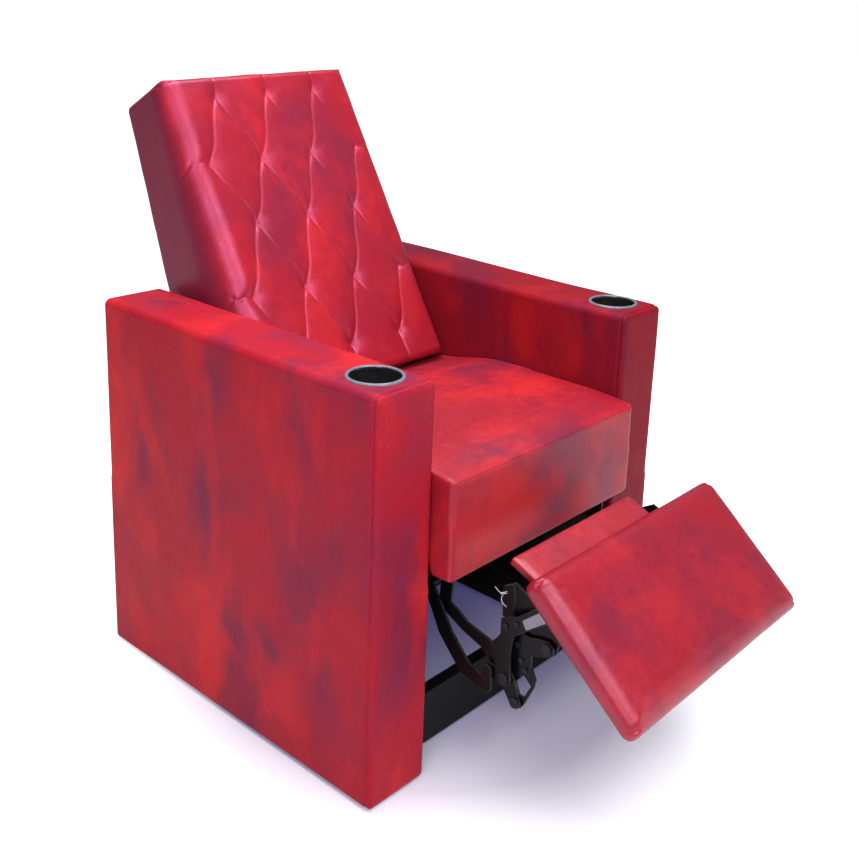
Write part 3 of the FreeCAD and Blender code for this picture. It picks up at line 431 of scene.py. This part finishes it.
def blown_up(obj):
    """The object's points after its cloth has been under pressure for a moment."""
    scene = bpy.context.scene
    cloth = obj.modifiers.new("cloth", "CLOTH")
    cloth.settings.quality = 4
    cloth.settings.use_pressure = True
    cloth.settings.uniform_pressure_force = PRESSURE
    cloth.settings.effector_weights.gravity = 0
    cloth.settings.tension_stiffness = 20
    cloth.settings.compression_stiffness = 20
    cloth.settings.bending_stiffness = 0.8
    cloth.point_cache.frame_start, cloth.point_cache.frame_end = 1, SWELL_FRAMES
    for number in range(1, SWELL_FRAMES + 1):
        scene.frame_set(number)
    points = apply_modifiers(obj)
    scene.frame_set(1)
    return points


def swell(points, quads, cap, free):
    """Cloth blown up a little from the inside, by no more than cap, with each quad split in four.

    free gives, per point, how far it may follow (0 to 1).
    """
    obj = add_object("swell", new_mesh("swell", points, quads))
    start = np.array(points)
    moved = blown_up(obj) - start
    length = np.maximum(np.linalg.norm(moved, axis=1), TINY)
    moved *= (np.minimum(length, cap) / length * free(start))[:, None]
    obj.data.vertices.foreach_set("co", (start + moved).ravel())
    obj.modifiers.new("smooth", "SUBSURF").levels = 1
    final = apply_modifiers(obj)
    mesh = obj.data
    faces = [tuple(face.vertices) for face in mesh.polygons]
    bpy.data.objects.remove(obj)
    bpy.data.meshes.remove(mesh)
    return final, faces


# Arms
ARM_ROUND_TOP, ARM_ROUND_LOW = 0.0125, 0.009
ARM_CROWN_TOP, ARM_CROWN_SIDE = 0.0016, 0.0012
ARM_HANG = 0.003                    # how far the cover ends below the arm's solid
SEAM_BEHIND = 0.0085                # from the front face to the front panel's seam
WELT_AHEAD, WELT_WIDTH, WELT_HEIGHT = 0.006, 0.004, 0.0007
WELL_RADIUS, WELL_DIP, WELL_WALL = 0.0405, 0.001, 0.02
LINED_X, LINED_Y, LINED_TOP = 0.244, (0.02 + FRONT_Y, 0.655 + FRONT_Y), 0.355


def arm_cover(word, side, skin, rise):
    """Thin padding over the arm's boards, with a front panel sewn in and a well for the cup holder.

    rise is how much the top climbs towards the rear.
    """
    low, high = (np.array(v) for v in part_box(word + "_arm_cover"))
    low[2] -= ARM_HANG
    size, middle = high - low, (low + high) / 2
    half = size / 2
    cup_low, cup_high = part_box(word + "_cup_holder")
    cup = (cup_low + cup_high) / 2 - Vector(middle)
    around_cup = (cup.y - 0.05, cup.y + 0.05, 0.006)
    points, quads = box_grid([stations(size[0], 0.008),
                              stations(size[1], 0.010, edge=0.016, fine=0.0016, extra=[around_cup]),
                              stations(size[2], 0.010)])
    pos, normal = rounded(points, size, np.where(points[:, 2] > 0, ARM_ROUND_TOP, ARM_ROUND_LOW))
    u = np.clip(np.abs(pos / half), 0, 1)
    top = smoothstep(0.6, 1.0, normal[:, 2])
    aside = smoothstep(0.6, 1.0, np.abs(normal[:, 0]))
    move = ARM_CROWN_TOP * top * (1 - u[:, 0] ** 4) * (1 - u[:, 1] ** 8)
    move += ARM_CROWN_SIDE * aside * (1 - u[:, 1] ** 6) * (1 - u[:, 2] ** 6)
    move += ripple(points, seed=3 + side, scale=0.22, amount=0.0010)
    # the front panel is sewn in just behind the front edge, over the top and down both sides
    behind = pos[:, 1] + half[1] - SEAM_BEHIND
    not_front = 1 - smoothstep(0.75, 0.95, -normal[:, 1])
    pucker = 1 + 0.35 * np.sin(pos[:, 0] * 900) * np.sin(pos[:, 2] * 800)
    welt = WELT_HEIGHT * np.exp(-((behind + WELT_AHEAD) / WELT_WIDTH) ** 2)
    move -= not_front * (groove(behind, width=0.0017, depth=0.0036) * pucker - welt)
    pos = pos + normal * move[:, None]
    world = pos + middle
    world[:, 2] += rise * smoothstep(-0.6, 1.0, pos[:, 1] / half[1]) * np.maximum(pos[:, 2] / half[2], 0)
    arm = make_piece(word + "_arm_upholstery", world, quads, skin, "base")
    cut_well(arm.data, cup + Vector(middle))
    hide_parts(word + "_arm_cover")
    line_inside(arm.data, side)


def cut_well(mesh, centre):
    """Round opening in the top skin for the cup holder: the points round it move to its rim."""
    def reach(point):
        return math.hypot(point.x - centre.x, point.y - centre.y)

    bm = bmesh.new()
    bm.from_mesh(mesh)
    top = [f for f in bm.faces if f.normal.z > 0.8 and reach(f.calc_center_median()) < WELL_RADIUS * 0.9]
    bmesh.ops.delete(bm, geom=top, context="FACES")
    ring = [e for e in bm.edges if e.is_boundary]
    for v in {v for e in ring for v in e.verts}:
        grow = WELL_RADIUS / reach(v.co)
        v.co.x = centre.x + (v.co.x - centre.x) * grow
        v.co.y = centre.y + (v.co.y - centre.y) * grow
        v.co.z -= WELL_DIP
    result = bmesh.ops.extrude_edge_only(bm, edges=ring)
    for v in (g for g in result["geom"] if isinstance(g, bmesh.types.BMVert)):
        v.co.z -= WELL_WALL
    bmesh.ops.recalc_face_normals(bm, faces=bm.faces)
    bm.to_mesh(mesh)
    bm.free()
    shade_smooth(mesh)


def line_inside(mesh, side):
    """Black lining cloth on the arm's hidden inner face and underside."""
    mesh.materials.append(LINING)
    for face in mesh.polygons:
        c = face.center
        hidden = abs(c.x - side * LINED_X) < 0.004 and LINED_Y[0] < c.y < LINED_Y[1] and c.z < LINED_TOP
        if hidden or face.normal.z < -0.9:
            face.material_index = 1


arm_cover("right", -1, LEATHER, rise=0.002)
# the far arm takes the darker copy of the leather, which is painted shade
arm_cover("left", 1, LEATHER_FAR_SHADED, rise=0.009)


# Cup holders
CUP_STEPS = 96
RIM_INSIDE, RIM_DEEP = 0.0385, 0.0045


def cup_holder(word):
    """Turned profile: rolled rim, slightly tapered wall and dished floor."""
    low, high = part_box(word + "_cup_holder")
    cx, cy = (low.x + high.x) / 2, (low.y + high.y) / 2
    top = high.z
    outer = (high.x - low.x) / 2
    # radius and height, from the floor's middle up the inside, over the rim and down the outside
    profile = [(0.0, low.z + 0.002), (0.030, low.z + 0.002), (0.036, low.z + 0.004), (0.0378, low.z + 0.010),
               (0.0380, top - 0.006), (0.0384, top - 0.002), (0.0396, top - 0.0004), (0.0412, top),
               (0.0428, top - 0.0006), (outer - 0.0006, top - 0.0022), (outer, top - 0.0036),
               (outer - 0.0008, top - 0.0042), (0.0400, top - 0.0042), (0.0400, low.z + 0.004),
               (0.0380, low.z), (0.0, low.z)]
    points, quads = [], []
    for row, (radius, z) in enumerate(profile):
        for k in range(CUP_STEPS):
            turn = 2 * math.pi * k / CUP_STEPS
            points.append((cx + radius * math.cos(turn), cy + radius * math.sin(turn), z))
            if row:
                a, n = (row - 1) * CUP_STEPS, (k + 1) % CUP_STEPS
                quads.append((a + k, a + n, a + CUP_STEPS + n, a + CUP_STEPS + k))
    cup = make_piece(word + "_cup_insert", points, quads, PLASTIC, "base")
    mesh = cup.data
    bm = bmesh.new()
    bm.from_mesh(mesh)
    bmesh.ops.remove_doubles(bm, verts=bm.verts, dist=1e-6)
    bmesh.ops.recalc_face_normals(bm, faces=bm.faces)
    bm.to_mesh(mesh)
    bm.free()
    shade_smooth(mesh)
    # painted reflection: the rim's top faces take the paler material
    mesh.materials.append(RIM)
    for face in mesh.polygons:
        c = face.center
        if c.z > top - RIM_DEEP and math.hypot(c.x - cx, c.y - cy) > RIM_INSIDE:
            face.material_index = 1
    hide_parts(word + "_cup_holder")


cup_holder("right")
cup_holder("left")


# Seat cushion
SLAB_LOW = 0.4338                   # height of the cushion's underside behind the apron
APRON_HANG = 0.010                  # how far the apron ends below the cushion's solid
APRON_BEHIND = 0.010, 0.016         # where it ends, behind the arms' front faces
SEAT_RISE, SEAT_FRONT_IN = 0.002, 0.001
SEAT_ROUND_TOP_FRONT, SEAT_ROUND = 0.011, 0.007
SEAT_SAG, SEAT_SWELL = 0.005, 0.008     # of the top towards its edges, and of the cover
CREST_FALL, SEAT_PRESSED = 0.009, 0.018  # of the top towards the front and rear, and under the back
CORNER_SEAM = 0.006


def seat_cushion():
    """Crowned box cushion with a front apron whose sides run back past the arms' front faces."""
    low, high = (np.array(v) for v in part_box("seat_cushion"))
    high[2] += SEAT_RISE
    low[2] -= APRON_HANG
    low[1] += SEAT_FRONT_IN
    size, middle = high - low, (low + high) / 2
    half = size / 2
    points, quads = box_grid([stations(length, 0.0075, edge=0.013, fine=0.0033) for length in size])
    top_front = (points[:, 1] < 0) & (points[:, 2] > 0)
    pos, normal = rounded(points, size, np.where(top_front, SEAT_ROUND_TOP_FRONT, SEAT_ROUND))
    u = np.clip(np.abs(pos / half), 0, 1)
    crown = (1 - u[:, 0] ** 2.4) * (1 - u[:, 1] ** 6)
    pos[:, 2] -= smoothstep(0.5, 1.0, normal[:, 2]) * SEAT_SAG * (1 - crown)
    world = pos + middle
    # behind the apron the underside rises to the webbing
    lifted = smoothstep(FRONT_Y + APRON_BEHIND[0], FRONT_Y + APRON_BEHIND[1], world[:, 1])
    world[:, 2] = np.where(world[:, 2] < SLAB_LOW, world[:, 2] + (SLAB_LOW - world[:, 2]) * lifted, world[:, 2])

    def free(p):
        above = smoothstep(0.43, 0.47, p[:, 2]) * smoothstep(high[1] - 0.002, high[1] - 0.05, p[:, 1])
        front = smoothstep(FRONT_Y - 0.012, FRONT_Y - 0.024, p[:, 1])
        front *= smoothstep(low[2] + 0.004, low[2] + 0.03, p[:, 2])
        sides = 1 - smoothstep(half[0] - 0.02, half[0] - 0.002, np.abs(p[:, 0])) * 0.85
        return np.maximum(above, front * 0.4) * sides

    pos, faces = swell(world, quads, SEAT_SWELL, free)
    normal = surface_normals(pos, faces)
    # a seam up each front corner
    to_seam = np.where(pos[:, 1] < low[1] + 0.020, np.abs(np.abs(pos[:, 0]) - (half[0] - CORNER_SEAM)), FAR)
    move = ripple(pos, seed=11, scale=0.16, amount=0.0013) * smoothstep(low[2], low[2] + 0.05, pos[:, 2])
    move -= groove(to_seam, width=0.0026, depth=0.0014)
    pos = pos + normal * move[:, None]
    # crowned from front to back, and pressed down where the back stands
    along = np.clip((pos[:, 1] - middle[1]) / half[1], -1, 1)
    crest = 0.003 - CREST_FALL * along ** 4 - SEAT_PRESSED * smoothstep(0.25, 0.95, along)
    pos[:, 2] += crest * smoothstep(SLAB_LOW, high[2] - 0.01, pos[:, 2]) * (pos[:, 2] > SLAB_LOW)
    cushion = make_piece("seat_cushion_cover", pos, faces, LEATHER_SEAT, "seat")
    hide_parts("seat_cushion")


seat_cushion()


# Back
LEAN, REAR_LEAN = math.radians(29.5), math.radians(21.3)
UP = np.array((0, math.sin(LEAN), math.cos(LEAN)))          # up the front
IN = np.array((0, math.cos(LEAN), -math.sin(LEAN)))         # from the front to the rear
BACK_LOW = np.array(at(0, 392, 507))                        # middle of the front's lower edge
BACK_LENGTH, TOP_THICK = 0.610, 0.1225
LOW_THICK = TOP_THICK + BACK_LENGTH * math.tan(LEAN - REAR_LEAN)
HALF_LOW, HALF_TOP = 0.2395, 0.226                          # half widths
BACK_SHIFT, TOP_TILT = 0.0015, 0.006                        # to the left, and up at the top's left end
ROLL_LOW, ROLL_NARROWS, ROLL_LEFT = 0.058, 0.014, 0.036     # radii of the front's side edges
ROUND_REAR, ROUND_TOP, ROUND_END = 0.006, 0.014, 0.012      # radii of the other edges
TUFT_STEP = 0.0627
TUFT_ROWS = (0.040, 0.167, 0.286, 0.421, 0.546)             # from the top edge down the front
SIDE_EDGE, PAST_SIDE = 0.228, 0.36                          # where a fold leaves the front, and where it ends
FOLD_DEPTH, FOLD_WIDTH, FOLD_BOW = 0.0009, 0.0022, 0.0035
STEP_HEIGHT, STEP_PINCHED, STEP_NEAR, STEP_FAR = 0.0003, 0.0004, 0.0010, 0.007
OPEN_PINCH = 0.6                                            # of a fold that has a tuft at one end only
DIMPLE_DEPTH, DIMPLE_WIDTH = 0.0056, 0.016
BULGE, BULGE_REACH, PANEL_DEPTH = 0.0030, 0.022, 0.008


def tufts():
    """Blind tufts as rows of (across, down) from the middle of the top edge, three and four in turn."""
    rows = []
    for row, down in enumerate(TUFT_ROWS):
        count = 3 + row % 2
        rows.append([(2 * TUFT_STEP * (k - (count - 1) / 2), down) for k in range(count)])
    return rows


def fold_lines():
    """Folds as segments: those between neighbouring tufts, then those over the top and out round the sides."""
    rows = tufts()
    between = []
    for upper, lower in zip(rows, rows[1:]):
        for x, d in upper:
            between += [(x, d, x2, d2) for x2, d2 in lower if abs(abs(x2 - x) - TUFT_STEP) < 1e-6]
    outward = [(x, d, x * 1.02, -0.05) for x, d in rows[0]]
    outward += [(x, d, x, d + 0.12) for x, d in rows[-1]]
    for row in rows[1::2]:
        for x, d in (row[0], row[-1]):
            edge, end = math.copysign(SIDE_EDGE, x), math.copysign(PAST_SIDE, x)
            outward += [(x, d, edge, d - 0.006), (edge, d - 0.006, end, d + 0.075)]
    return between, outward


def fold_profile(px, py, line):
    """Distance to a fold, the side of it, and the nearest place along it. The fold bows a little."""
    x0, y0, x1, y1 = line
    dx, dy = x1 - x0, y1 - y0
    length = math.hypot(dx, dy)
    t = ((px - x0) * dx + (py - y0) * dy) / length ** 2
    inside = np.clip(t, 0, 1)
    bow = FOLD_BOW * np.sin(inside * math.pi * 2)
    off = ((px - x0) * dy - (py - y0) * dx) / length + bow
    end = (t - inside) * length
    return np.hypot(off, end), np.sign(off), inside


def folds_at(x, down):
    """Distance to the nearest fold, depth of the folds, and the step from one side of them to the other."""
    nearest = np.full(len(x), FAR)
    fold, step = np.zeros(len(x)), np.zeros(len(x))
    between, outward = fold_lines()
    for number, line in enumerate(between + outward):
        d, side, t = fold_profile(x, down, line)
        nearest = np.minimum(nearest, d)
        # a fold between two tufts is deeper near them
        pinch = np.abs(2 * t - 1) if number < len(between) else OPEN_PINCH
        fold = np.maximum(fold, (FOLD_DEPTH + FOLD_DEPTH * pinch ** 4) * np.exp(-d / FOLD_WIDTH))
        height = (STEP_HEIGHT + STEP_PINCHED * pinch ** 3) * side
        step += height * np.tanh(d / STEP_NEAR) * np.exp(-(d / STEP_FAR) ** 1.5)
    return nearest, fold, step


def dimples_at(x, down):
    """Distance to the nearest tuft, and depth of its dimple."""
    nearest = np.full(len(x), FAR)
    dimple = np.zeros(len(x))
    for tuft_x, tuft_down in (tuft for row in tufts() for tuft in row):
        r = np.hypot(x - tuft_x, down - tuft_down)
        nearest = np.minimum(nearest, r)
        dimple = np.maximum(dimple, DIMPLE_DEPTH * np.exp(-(r / DIMPLE_WIDTH) ** 1.3))
    return nearest, dimple


def back_cushion():
    """Wedge of foam, soft folds between blind tufts, well rounded where the front meets the sides."""
    size = np.array((2 * HALF_LOW, TOP_THICK, BACK_LENGTH))
    half = size / 2
    points, quads = box_grid([stations(length, step) for length, step in zip(size, (0.0020, 0.003, 0.0026))])
    pos = points.copy()
    roll = np.where(pos[:, 0] < 0, ROLL_LOW - ROLL_NARROWS * (pos[:, 2] / half[2] + 1) / 2, ROLL_LEFT)
    for a, b, end, radius in ((0, 1, -half[1], roll), (0, 1, half[1], ROUND_REAR),
                              (2, 1, -half[1], ROUND_TOP), (0, 2, half[2], ROUND_END)):
        pos[:, a], pos[:, b] = round_corner(pos[:, a], pos[:, b], half[a], end, radius)
    normal = surface_normals(pos, quads)
    across, down = pos[:, 0], half[2] - pos[:, 2]
    depth = pos[:, 1] + half[1]
    # unrolled place on the skin: past a rounded edge the distance runs on down the side or the top
    flat_x = np.sign(across) * (np.abs(across) + depth * smoothstep(0.2, 0.8, np.abs(normal[:, 0])))
    flat_d = down - depth * smoothstep(0.3, 0.9, normal[:, 2])
    nearest, fold, step = folds_at(flat_x, flat_d)
    to_tuft, dimple = dimples_at(flat_x, flat_d)
    step *= smoothstep(0.003, 0.020, to_tuft)
    inner = smoothstep(0.0, 0.085, half[0] - np.abs(across)) * smoothstep(0.0, 0.05, down)
    bulge = BULGE * (1 - np.exp(-nearest / BULGE_REACH)) * inner
    front = (1 - smoothstep(0.6, 0.9, normal[:, 1])) * (1 - smoothstep(0.6, 0.9, -normal[:, 2]))
    deeper = 1 + 0.5 * smoothstep(0.03, 0.06, depth)
    move = (bulge + (step - fold) * deeper - dimple * (0.4 + 0.6 * inner)) * front
    move += ripple(points, seed=5, scale=0.12, amount=0.0013) * front
    # the outside back is let in behind
    panel = smoothstep(0.7, 0.95, normal[:, 1]) * smoothstep(0.010, 0.013, half[0] - np.abs(across))
    move -= PANEL_DEPTH * panel * smoothstep(0.020, 0.024, down)
    pos = pos + normal * move[:, None]
    # the wedge: deeper and wider towards the bottom, its top edge a little higher on the left
    fall = np.clip((half[2] - pos[:, 2]) / BACK_LENGTH, -0.05, 1.05)
    depth = (pos[:, 1] + half[1]) / TOP_THICK * (TOP_THICK + (LOW_THICK - TOP_THICK) * fall)
    run = BACK_LENGTH - (half[2] - pos[:, 2]) + TOP_TILT * pos[:, 0] / half[0] * (1 - fall)
    world = np.outer(run, UP) + np.outer(depth, IN) + BACK_LOW
    world[:, 0] = pos[:, 0] * (HALF_TOP + (HALF_LOW - HALF_TOP) * fall) / HALF_LOW + BACK_SHIFT
    world[:, 2] = np.maximum(world[:, 2], BACK_LOW[2] - 0.007)
    back = make_piece("back_cushion_cover", world, quads, LEATHER_BACK, "back")
    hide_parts("back_cushion")


back_cushion()


# Footrest pads
def foot_pad(name, node, body, size, angle, near, edge, cap, seed, skin, rise=(0, 0)):
    """Upholstered panel: soft rolled edges, crowned top, cover pulled flat under and folded at the corners.

    It lies at an angle in degrees, with the top of its near end at near. edge is the radius of its edges, cap
    how far its cover may swell, and rise how much thicker the pad is at its near and far ends.
    """
    size = np.array(size)
    half = size / 2
    step = 0.006 if size[0] > 0.4 else 0.004
    pos, quads = box_grid([stations(length, step, edge * 1.2, edge / 7) for length in size])
    for end, radius in ((1, edge), (-1, edge * 0.4)):
        for side in (0, 1):
            pos[:, side], pos[:, 2] = round_corner(pos[:, side], pos[:, 2], half[side], end * half[2], radius)
    for end in (-1, 1):
        pos[:, 0], pos[:, 1] = round_corner(pos[:, 0], pos[:, 1], half[0], end * half[1], edge * 0.7)
    normal = surface_normals(pos, quads)
    u = np.clip(np.abs(pos / half), 0, 1)
    crown = (1 - u[:, 0] ** 6) * (1 - u[:, 1] ** 6)
    pos[:, 2] -= smoothstep(0.3, 1.0, normal[:, 2]) * cap * 0.7 * (1 - crown)

    def free(p):
        inside = np.minimum(half[0] - np.abs(p[:, 0]), half[1] - np.abs(p[:, 1]))
        return smoothstep(-half[2] * 0.9, -half[2] * 0.2, p[:, 2]) * smoothstep(edge * 0.2, edge * 2, inside)

    pos, faces = swell(pos, quads, cap, free)
    normal = surface_normals(pos, faces)
    # a tuck runs in from each corner
    to_side, to_end = half[0] - np.abs(pos[:, 0]), half[1] - np.abs(pos[:, 1])
    to_tuck = np.abs(to_side - to_end * 0.6 - edge * 0.45)
    near_corner = smoothstep(edge * 4.2, edge * 1.2, to_side + to_end)
    tuck = near_corner * groove(to_tuck, width=0.0012, depth=edge * 0.02)
    move = ripple(pos, seed, scale=0.12, amount=0.0007) - tuck
    pos = pos + normal * (move * smoothstep(-0.9, -0.5, normal[:, 2]))[:, None]
    pos[:, 2] = np.maximum(pos[:, 2], -half[2])
    along = np.clip((half[1] - pos[:, 1]) / size[1], 0, 1)
    pos[:, 2] += (rise[0] + (rise[1] - rise[0]) * along) * (pos[:, 2] + half[2]) / size[2]
    pos[:, 1:] -= half[1:]
    turn = math.radians(angle)
    world = pos.copy()
    world[:, 1] = near.y + pos[:, 1] * math.cos(turn) - pos[:, 2] * math.sin(turn)
    world[:, 2] = near.z + pos[:, 1] * math.sin(turn) + pos[:, 2] * math.cos(turn)
    pad = make_piece(name, world, faces, skin, body)
    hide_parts(node)


foot_pad("footrest_pad_cover", "footrest_pad", "footrest", size=(0.486, 0.242, 0.032), angle=39.8,
         near=at(0, -185.2, 417.2), edge=0.0200, cap=0.0032, seed=21, skin=LEATHER_FOOT, rise=(0.011, 0.003))
foot_pad("flipper_pad_cover", "flipper_pad", "flipper", size=(0.318, 0.105, 0.014), angle=22,
         near=at(0, -86, 382), edge=0.0060, cap=0.0015, seed=22, skin=LEATHER_PALE)


# Small things on the footrest's metalwork, in millimetres
TIE_TURNS = [(-187, -97, 338), (-187, -103, 341), (-190, -106, 343), (-195, -104, 343), (-196, -98, 340),
             (-195, -94, 338), (-190, -94, 338), (-187, -97, 341), (-189, -104, 345), (-194, -105, 346),
             (-197, -100, 343), (-196, -94, 341), (-197, -89, 345), (-199, -87, 349)]
TIE_END = [(-187, -97, 338), (-192, -95, 334), (-197, -98, 331), (-200, -104, 328), (-199, -110, 325)]
TIE_RADIUS = 0.55
PLATE_FACE, PATCH_THICK = -209.0, 0.25
PATCH_CORNERS = [(-148, 323), (-176, 347), (-178, 347), (-188, 337), (-188, 335.5), (-156, 311), (-154, 311),
                 (-148, 321.5)]


def wire_tie():
    """Thin white tie wrapped twice round the near bracket's strap, with two loose ends."""
    curve = bpy.data.curves.new("wire_tie", "CURVE")
    curve.dimensions = "3D"
    curve.bevel_depth = TIE_RADIUS * MM
    curve.bevel_resolution = 3
    for run in (TIE_TURNS, TIE_END):
        spline = curve.splines.new("NURBS")
        spline.points.add(len(run) - 1)
        for point, place in zip(spline.points, run):
            point.co = (*at(*place), 1)
        spline.order_u = 3
        spline.use_endpoint_u = True
    tie = add_object("wire_tie", curve)
    curve.materials.append(WHITE_TIE)
    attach(tie, "footrest")


def blank_patch():
    """Plain grey sticker on the near cranked plate, with nothing on it."""
    count = len(PATCH_CORNERS)
    points = [at(x, y, z) for x in (PLATE_FACE, PLATE_FACE - PATCH_THICK) for y, z in PATCH_CORNERS]
    under, outer = list(range(count)), list(range(count, 2 * count))
    sides = [(k, (k + 1) % count, count + (k + 1) % count, count + k) for k in range(count)]
    mesh = new_mesh("plate_patch", points, [outer, under[::-1], *sides])
    bm = bmesh.new()
    bm.from_mesh(mesh)
    bmesh.ops.recalc_face_normals(bm, faces=bm.faces)
    bm.to_mesh(mesh)
    bm.free()
    mesh.materials.append(GREY_FILM)
    patch = add_object("plate_patch", mesh)
    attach(patch, "scissor_links")


wire_tie()
blank_patch()


# Floor, light and background
FLOOR_HALF, FLOOR_COLOR = 14, (0.80, 0.80, 0.82)
NEAR_GLOW, FAR_GLOW = (0.02, 0.02, 0.10), (1.0, 1.0, 1.0)
GLOW_SPAN = (0.36, 0.72)            # distances from the middle of the floor
GLOSSY_SHARE = 0.25                 # of the glow, for reflections


def floor():
    """Pale floor: white to the camera, more so far out, and a faint lavender where the chair shades it."""
    corners = [(x * FLOOR_HALF, y * FLOOR_HALF, 0) for x, y in ((-1, -1), (1, -1), (1, 1), (-1, 1))]
    obj = add_object("floor", new_mesh("floor", corners, [(0, 1, 2, 3)]))
    m = Nodes("floor_pale")
    m.set(Base_Color=FLOOR_COLOR, Roughness=0.85, Specular_IOR_Level=0.1)
    place = m.add("ShaderNodeTexCoord", {})
    reach = m.add("ShaderNodeVectorMath", {0: place.outputs["Object"]}, operation="LENGTH")
    far = m.remap(reach.outputs["Value"], GLOW_SPAN)
    path = m.add("ShaderNodeLightPath", {})
    glossy = m.math("MULTIPLY", path.outputs["Is Glossy Ray"], GLOSSY_SHARE)
    seen = m.math("MAXIMUM", path.outputs["Is Camera Ray"], glossy)
    glow = m.add("ShaderNodeEmission", {"Color": m.mix(far, NEAR_GLOW, FAR_GLOW), "Strength": seen})
    total = m.add("ShaderNodeAddShader", {0: m.shader.outputs["BSDF"], 1: glow.outputs["Emission"]})
    m.feed(m.tree.nodes["Material Output"], {"Surface": total.outputs["Shader"]})
    obj.data.materials.append(m.material)


def lamp(name, place, target, size, power, color=(1, 1, 1)):
    light = bpy.data.lights.new(name, "AREA")
    light.shape = "RECTANGLE"
    light.size, light.size_y = size
    light.energy = power
    light.color = color
    obj = add_object(name, light)
    obj.location = place
    obj.rotation_euler = (Vector(target) - Vector(place)).to_track_quat("-Z", "Y").to_euler()


def backdrop():
    """World that is white to the camera and lights the chair faintly from all round."""
    world = bpy.data.worlds.new("studio")
    bpy.context.scene.world = world
    world.use_nodes = True
    tree = world.node_tree
    sky = tree.nodes["Background"]
    sky.inputs["Color"].default_value = (1, 1, 1, 1)
    path = tree.nodes.new("ShaderNodeLightPath")
    strength = tree.nodes.new("ShaderNodeMapRange")
    strength.inputs["To Min"].default_value = 0.20
    strength.inputs["To Max"].default_value = 1.0
    tree.links.new(path.outputs["Is Camera Ray"], strength.inputs["Value"])
    tree.links.new(strength.outputs["Result"], sky.inputs["Strength"])


floor()
lamp("key", (-0.9, -2.4, 3.0), (0, 0, 0.5), (2.0, 1.6), 70)
lamp("side", (-2.7, -1.6, 2.3), (0, 0.1, 0.7), (1.3, 1.1), 46, (1.0, 0.90, 1.0))
lamp("fill", (1.6, -3.2, 0.7), (0, 0, 0.5), (2.0, 1.2), 15)
lamp("top", (0.1, 0.3, 3.2), (0, 0.1, 0.5), (2.2, 2.2), 108)
backdrop()
